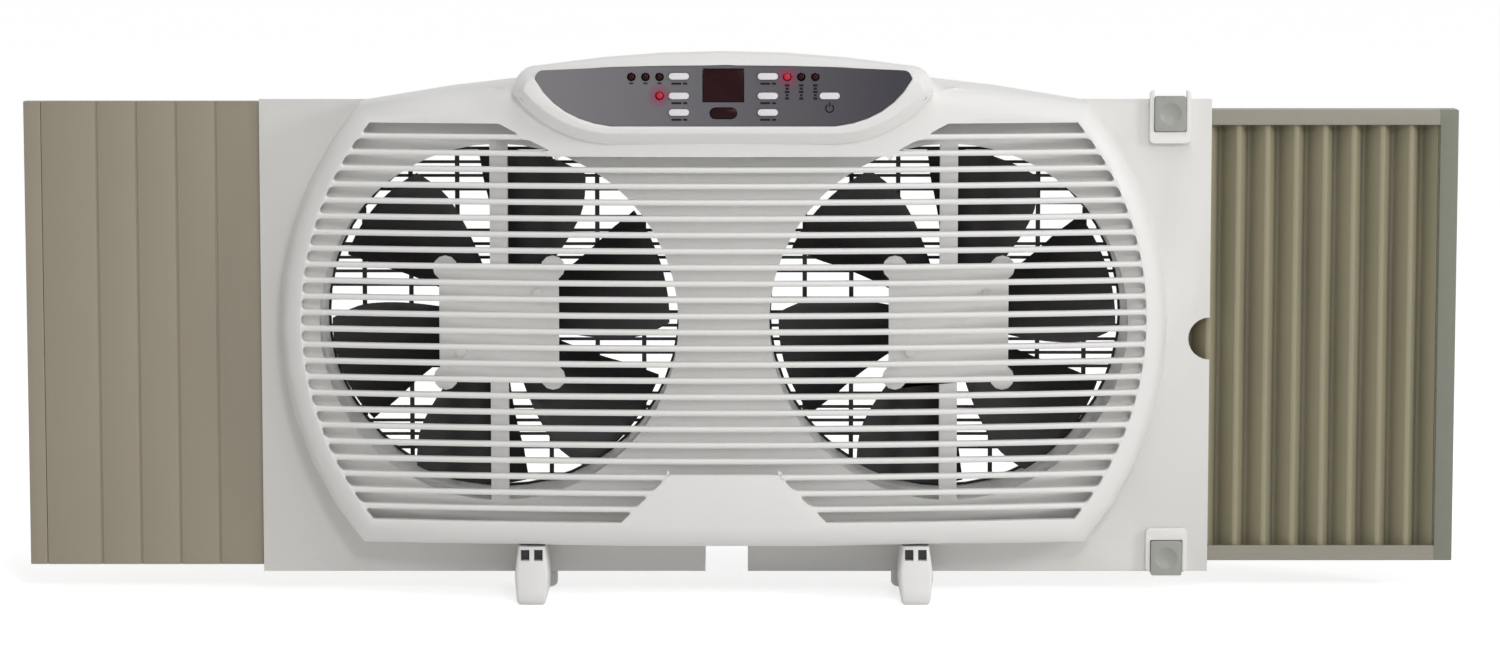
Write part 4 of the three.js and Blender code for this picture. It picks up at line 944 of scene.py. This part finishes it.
def add_digits():
    """Two unlit seven-bar digits behind the display window."""
    low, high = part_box("display_window")
    middle = (low + high) / 2
    y = (low.y - 0.05 * MM, low.y + 0.02 * MM)
    bm = bmesh.new()
    for side in (-1, 1):
        x = middle.x + side * DIGIT_SPREAD
        for across, up, flat in DIGIT_BARS:
            size = (4.2 * MM, 1.2 * MM) if flat else (1.2 * MM, 5.0 * MM)
            centre = (x + across * DIGIT_HALF_WIDTH + up * DIGIT_SLANT, middle.z + up * DIGIT_HALF_HEIGHT)
            print_bar(bm, centre, size, y, skew=0.1 * MM if flat else 0.25 * MM)
    on_node("display_digits", "display_window", bm, "ghost", slot="smoked_lens")


class WINDOWFAN_OT_controls(bpy.types.Operator):
    """Control fascia, windows, buttons, lamps and generic marks"""

    bl_idname = "window_fan.controls"
    bl_label = "Controls"

    def execute(self, context):
        dressed("control_fascia", "fascia", bevel=0)
        dressed("control_board", "board", bevel=0.2)
        dressed("display_window", "lens", bevel=0.35)
        dressed("display_module", "module", bevel=0.4)
        dressed("receiver_window", "lens", bevel=0.35)
        dressed("receiver", "module", bevel=0.4)
        for node in BUTTONS + ["power_button"]:
            dressed(node, "buttons", bevel=0.55, segments=4)
        for node in LAMPS:
            dressed(node, "lamp_lit" if node in LIT_LAMPS else "lamp_dark", bevel=0.2, segments=3)
        add_marks()
        add_digits()
        return {"FINISHED"}


# ---------------------------------------------------------------- side panels


class WINDOWFAN_OT_filler_panel(bpy.types.Operator):
    """Left filler panel and its end trim"""

    bl_idname = "window_fan.filler_panel"
    bl_label = "Filler panel"

    def execute(self, context):
        dressed("filler_panel", "panel", bevel=0.2)
        dressed("filler_end_trim", "panel", bevel=0.6, segments=3)
        return {"FINISHED"}


PLEATS = 10.5
PLEAT_STEPS = (
    (0, 1), (0.05, 0.95), (0.5, -0.95), (0.55, -1), (0.62, -1), (0.66, -0.94), (0.93, 0.95), (1, 1),
)
CURTAIN_COLUMNS, CURTAIN_ROWS = 336, 24


def pleat_height(turns):
    """Depth of the folded sheet from -1, at the front, to 1: each fold has a wide face and a steep one."""
    share = turns % 1
    for (start, low), (end, high) in zip(PLEAT_STEPS, PLEAT_STEPS[1:]):
        if share <= end:
            ease = (share - start) / (end - start)
            return low + (high - low) * ease
    return 1


class WINDOWFAN_OT_sliding_panel(bpy.types.Operator):
    """Right sliding frame with its pleated curtain"""

    bl_idname = "window_fan.sliding_panel"
    bl_label = "Sliding panel"

    def execute(self, context):
        sizes = context.scene.window_fan_sizes
        dressed("sliding_frame", "frame", bevel=0.7, segments=3)
        low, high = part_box("pleated_curtain")
        thickness = sizes.pleat_thickness
        bm = bmesh.new()
        made = bmesh.ops.create_grid(
            bm, x_segments=CURTAIN_COLUMNS, y_segments=CURTAIN_ROWS, size=0.5
        )["verts"]
        middle = (low + high) / 2
        swing = (high.y - low.y - thickness * 1.15) / 2
        inset = thickness * 0.6
        for vert in made:
            along, up = vert.co.x + 0.5, vert.co.y + 0.5
            fold = pleat_height(along * PLEATS)
            slack = 0.2 * MM * math.sin(up * math.pi * 3 + along * 25)
            x = low.x + inset + (high.x - low.x - 2 * inset) * along
            vert.co = (x, middle.y + (swing - 0.3 * MM) * fold + slack, low.z + (high.z - low.z) * up)
        bmesh.ops.recalc_face_normals(bm, faces=bm.faces)
        bmesh.ops.translate(bm, verts=bm.verts, vec=(0, -thickness / 2, 0))
        bmesh.ops.solidify(bm, geom=list(bm.faces), thickness=thickness)
        piece = new_piece("pleated_curtain", bm, "curtain", angle=60)
        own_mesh(piece)
        return {"FINISHED"}


# ---------------------------------------------------------------- locks and feet


class WINDOWFAN_OT_locks(bpy.types.Operator):
    """Panel locks: surrounds and dished sliding tabs"""

    bl_idname = "window_fan.locks"
    bl_label = "Panel locks"

    def execute(self, context):
        for place in ("upper", "lower"):
            dressed(f"lock_surround_{place}", "housing", bevel=0.5, segments=3)
            dressed(f"lock_tab_{place}", "locks", bevel=0.45, segments=3)
        return {"FINISHED"}


FOOT_NECK_TOP = 37.2 * MM
FOOT_HALF_WIDTH = 11 * MM
FOOT_ROUNDING = 2.8 * MM
FOOT_SLOT_PLACE, FOOT_SLOT_WIDTH, FOOT_SLOT_HEIGHT = 4.3 * MM, 5.6 * MM, 7 * MM
FOOT_SLOT_BACK, FOOT_FILLING_FRONT, FOOT_CUTTER_FRONT = 38.9 * MM, 41 * MM, 60 * MM
# Side view in millimetres: Y from the flange's front face, and Z
FOOT_PROFILE = ((-52, 0), (34, 0), (34, 12), (-4, 12), (-12, 18), (-12, 37.2), (-44, 37.2), (-54, 5))


class WINDOWFAN_OT_feet(bpy.types.Operator):
    """Clip-on feet"""

    bl_idname = "window_fan.feet"
    bl_label = "Feet"

    def execute(self, context):
        for side in ("left", "right"):
            node = f"foot_{side}"
            low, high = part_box(node)
            middle = (low.x + high.x) / 2
            leg = combined(object_of("leg", foot_leg(middle)), foot_hollows(middle, 0), "DIFFERENCE")
            bm = copy_of(node)
            above = bmesh.ops.bisect_plane(
                bm, geom=[*bm.verts, *bm.edges, *bm.faces], dist=1e-6, clear_inner=True,
                plane_co=(0, 0, FOOT_NECK_TOP + 0.05 * MM), plane_no=(0, 0, 1),
            )["geom_cut"]
            bmesh.ops.holes_fill(bm, edges=[item for item in above if isinstance(item, bmesh.types.BMEdge)])
            bm.from_mesh(leg.data)
            bpy.data.objects.remove(leg)
            add_heel(bm, middle, high.y)
            new_piece(node, bm, "feet", angle=40)
            # painted shade: a dark block set deep in each slot of the foot
            dark = foot_hollows(middle, 0.15 * MM)
            on_node(f"{node}_hollows", node, dark, "module", bevel=0.1)
        return {"FINISHED"}


def foot_leg(middle):
    """The leg of a foot: its side profile, rounded all round, and waisted at the toe and the neck."""
    bm = bmesh.new()
    corners = [(middle - FOOT_HALF_WIDTH, FLANGE_FRONT + y * MM, z * MM) for y, z in FOOT_PROFILE]
    extrude(bm, corners, (2 * FOOT_HALF_WIDTH, 0, 0))
    bmesh.ops.recalc_face_normals(bm, faces=bm.faces)
    edges = [edge for edge in bm.edges if edge.is_convex and not all(v.co.z > 37 * MM for v in edge.verts)]
    round_over(bm, edges, FOOT_ROUNDING, segments=4)
    for height in range(3, 37, 3):
        bmesh.ops.bisect_plane(
            bm, geom=[*bm.verts, *bm.edges, *bm.faces], dist=1e-6,
            plane_co=(0, 0, height * MM), plane_no=(0, 0, 1),
        )
    for vert in bm.verts:
        share = vert.co.z / FOOT_NECK_TOP
        width = 1 - 0.2 * max(0, share - 0.55) / 0.45 - 0.16 * max(0, 0.5 - share) / 0.5
        vert.co.x = middle + (vert.co.x - middle) * width
    return bm


def add_heel(bm, middle, back):
    """The round heel of a foot, seen from above as a disc."""
    radius, height, rounding = 14 * MM, 12 * MM, 3 * MM
    turn = [math.radians(18 * step) for step in range(6)]
    lower = [(radius - rounding + rounding * math.sin(a), rounding - rounding * math.cos(a)) for a in turn]
    upper = [(across, height - up) for across, up in reversed(lower)]
    profile = [(0, 0), *lower, *upper, (0, height)]
    add_turned(bm, profile, (middle, back - radius, 0), steps=48, axis=(0, 0, 1))


def foot_hollows(middle, inset):
    """The two slots in a foot's neck, as a cutter, or with an inset as a dark block at their back, painted shade
    standing for the dark deep in the slots.
    """
    bm = bmesh.new()
    top = FOOT_NECK_TOP - 2 * MM
    for side in (-1, 1):
        x = middle + side * FOOT_SLOT_PLACE
        half = FOOT_SLOT_WIDTH / 2 - inset
        front = FLANGE_FRONT - (FOOT_FILLING_FRONT if inset else FOOT_CUTTER_FRONT)
        back = FLANGE_FRONT - FOOT_SLOT_BACK - inset
        add_box(bm, (x - half, front, top - FOOT_SLOT_HEIGHT + inset), (x + half, back, top - inset))
    return bm


# ---------------------------------------------------------------- stage


WORLD_LIGHT = 0.36
FLOOR_WHITENING = 0.62
FLOOR_SIZE = 12
LAMPS_OF_STAGE = (
    ("front_lamp", (0.5, -2.9, 1.7), (0, 0, 0.18), 0.55, 17),
    ("side_lamp", (2.6, -1.4, 1.1), (-0.15, 0, 0.18), 0.7, 21),
    ("top_lamp", (0.4, -1.1, 2.4), (0, 0, 0.2), 1.2, 13),
)
CAMERA_AIM = Vector((0.0058, 0.0083, 0.1716))
CAMERA_DISTANCE = 3.1
CAMERA_ELEVATION = math.radians(6.5)
VIEW_WIDTH = 0.9855
SENSOR_WIDTH = 36


class WINDOWFAN_OT_stage(bpy.types.Operator):
    """Pale floor, plain soft light and the camera"""

    bl_idname = "window_fan.stage"
    bl_label = "Stage"

    def execute(self, context):
        add_floor()
        add_world(context.scene)
        for lamp in LAMPS_OF_STAGE:
            add_lamp(*lamp)
        add_camera(context.scene)
        context.scene.view_settings.view_transform = "Standard"
        return {"FINISHED"}


def add_floor():
    """A pale floor, whitened for the rays that see it directly."""
    bm = bmesh.new()
    bmesh.ops.create_grid(bm, x_segments=1, y_segments=1, size=FLOOR_SIZE)
    floor = object_of("floor", bm)
    shader = Shader("Pale floor")
    cloud = shader.noise(1.5, 2)
    shader.set("Base Color", shader.mix(cloud, (0.86, 0.86, 0.86), (0.88, 0.88, 0.88)))
    shader.set_all(Roughness=0.9, Emission_Strength=FLOOR_WHITENING)
    shader.set("Emission Color", shader.mix(shader.seen_directly(), (0, 0, 0), (1, 1, 1)))
    floor.data.materials.append(shader.material)


def add_world(scene):
    """White to the camera, glosses and glass; a dimmer white as light."""
    scene.world = bpy.data.worlds.new("Studio")
    sky = Shader("Studio", scene.world)
    level = sky.falloff(sky.seen_directly(), 0.0, 1.0, WORLD_LIGHT, 1.0)
    sky.set("Color", sky.mix(level, (0, 0, 0), (1, 1, 1)))


def add_lamp(name, place, target, size, power):
    """A square area lamp turned to a target."""
    light = bpy.data.lights.new(name, "AREA")
    light.energy = power
    light.size = size
    lamp = bpy.data.objects.new(name, light)
    lamp.location = place
    lamp.rotation_euler = (Vector(target) - Vector(place)).to_track_quat("-Z", "Y").to_euler()
    bpy.context.scene.collection.objects.link(lamp)


def add_camera(scene):
    """The camera, with a lens that shows the view's width at its distance."""
    data = bpy.data.cameras.new("camera")
    data.sensor_width = SENSOR_WIDTH
    data.lens = SENSOR_WIDTH * CAMERA_DISTANCE / VIEW_WIDTH
    camera = bpy.data.objects.new("camera", data)
    back = Vector((0, -math.cos(CAMERA_ELEVATION), math.sin(CAMERA_ELEVATION)))
    camera.location = CAMERA_AIM + back * CAMERA_DISTANCE
    camera.rotation_euler = (-back).to_track_quat("-Z", "Y").to_euler()
    scene.collection.objects.link(camera)
    scene.camera = camera


# ---------------------------------------------------------------- panel and registration


PIECES = (
    WINDOWFAN_OT_front_housing, WINDOWFAN_OT_shroud, WINDOWFAN_OT_rear_housing, WINDOWFAN_OT_grilles,
    WINDOWFAN_OT_motors, WINDOWFAN_OT_fans, WINDOWFAN_OT_controls, WINDOWFAN_OT_filler_panel,
    WINDOWFAN_OT_sliding_panel, WINDOWFAN_OT_locks, WINDOWFAN_OT_feet, WINDOWFAN_OT_stage,
)


class WINDOWFAN_PT_panel(bpy.types.Panel):
    """Sizes, colours and pieces of the window fan"""

    bl_idname = "WINDOWFAN_PT_panel"
    bl_label = "Window Fan"
    bl_space_type = "VIEW_3D"
    bl_region_type = "UI"
    bl_category = "Window Fan"

    def draw(self, context):
        for group in (context.scene.window_fan_sizes, context.scene.window_fan_colours):
            box = self.layout.box()
            for key in group.__annotations__:
                box.prop(group, key)
        for piece in PIECES:
            self.layout.operator(piece.bl_idname)


CLASSES = (WindowFanSizes, WindowFanColours, *PIECES, WINDOWFAN_PT_panel)


def register():
    for cls in CLASSES:
        bpy.utils.register_class(cls)
    bpy.types.Scene.window_fan_sizes = bpy.props.PointerProperty(type=WindowFanSizes)
    bpy.types.Scene.window_fan_colours = bpy.props.PointerProperty(type=WindowFanColours)


def unregister():
    del bpy.types.Scene.window_fan_colours
    del bpy.types.Scene.window_fan_sizes
    for cls in reversed(CLASSES):
        bpy.utils.unregister_class(cls)


def main():
    register()
    make_materials(bpy.context.scene.window_fan_colours)
    for piece in PIECES:
        group, name = piece.bl_idname.split(".")
        getattr(getattr(bpy.ops, group), name)()


if __name__ == "__main__":
    main()
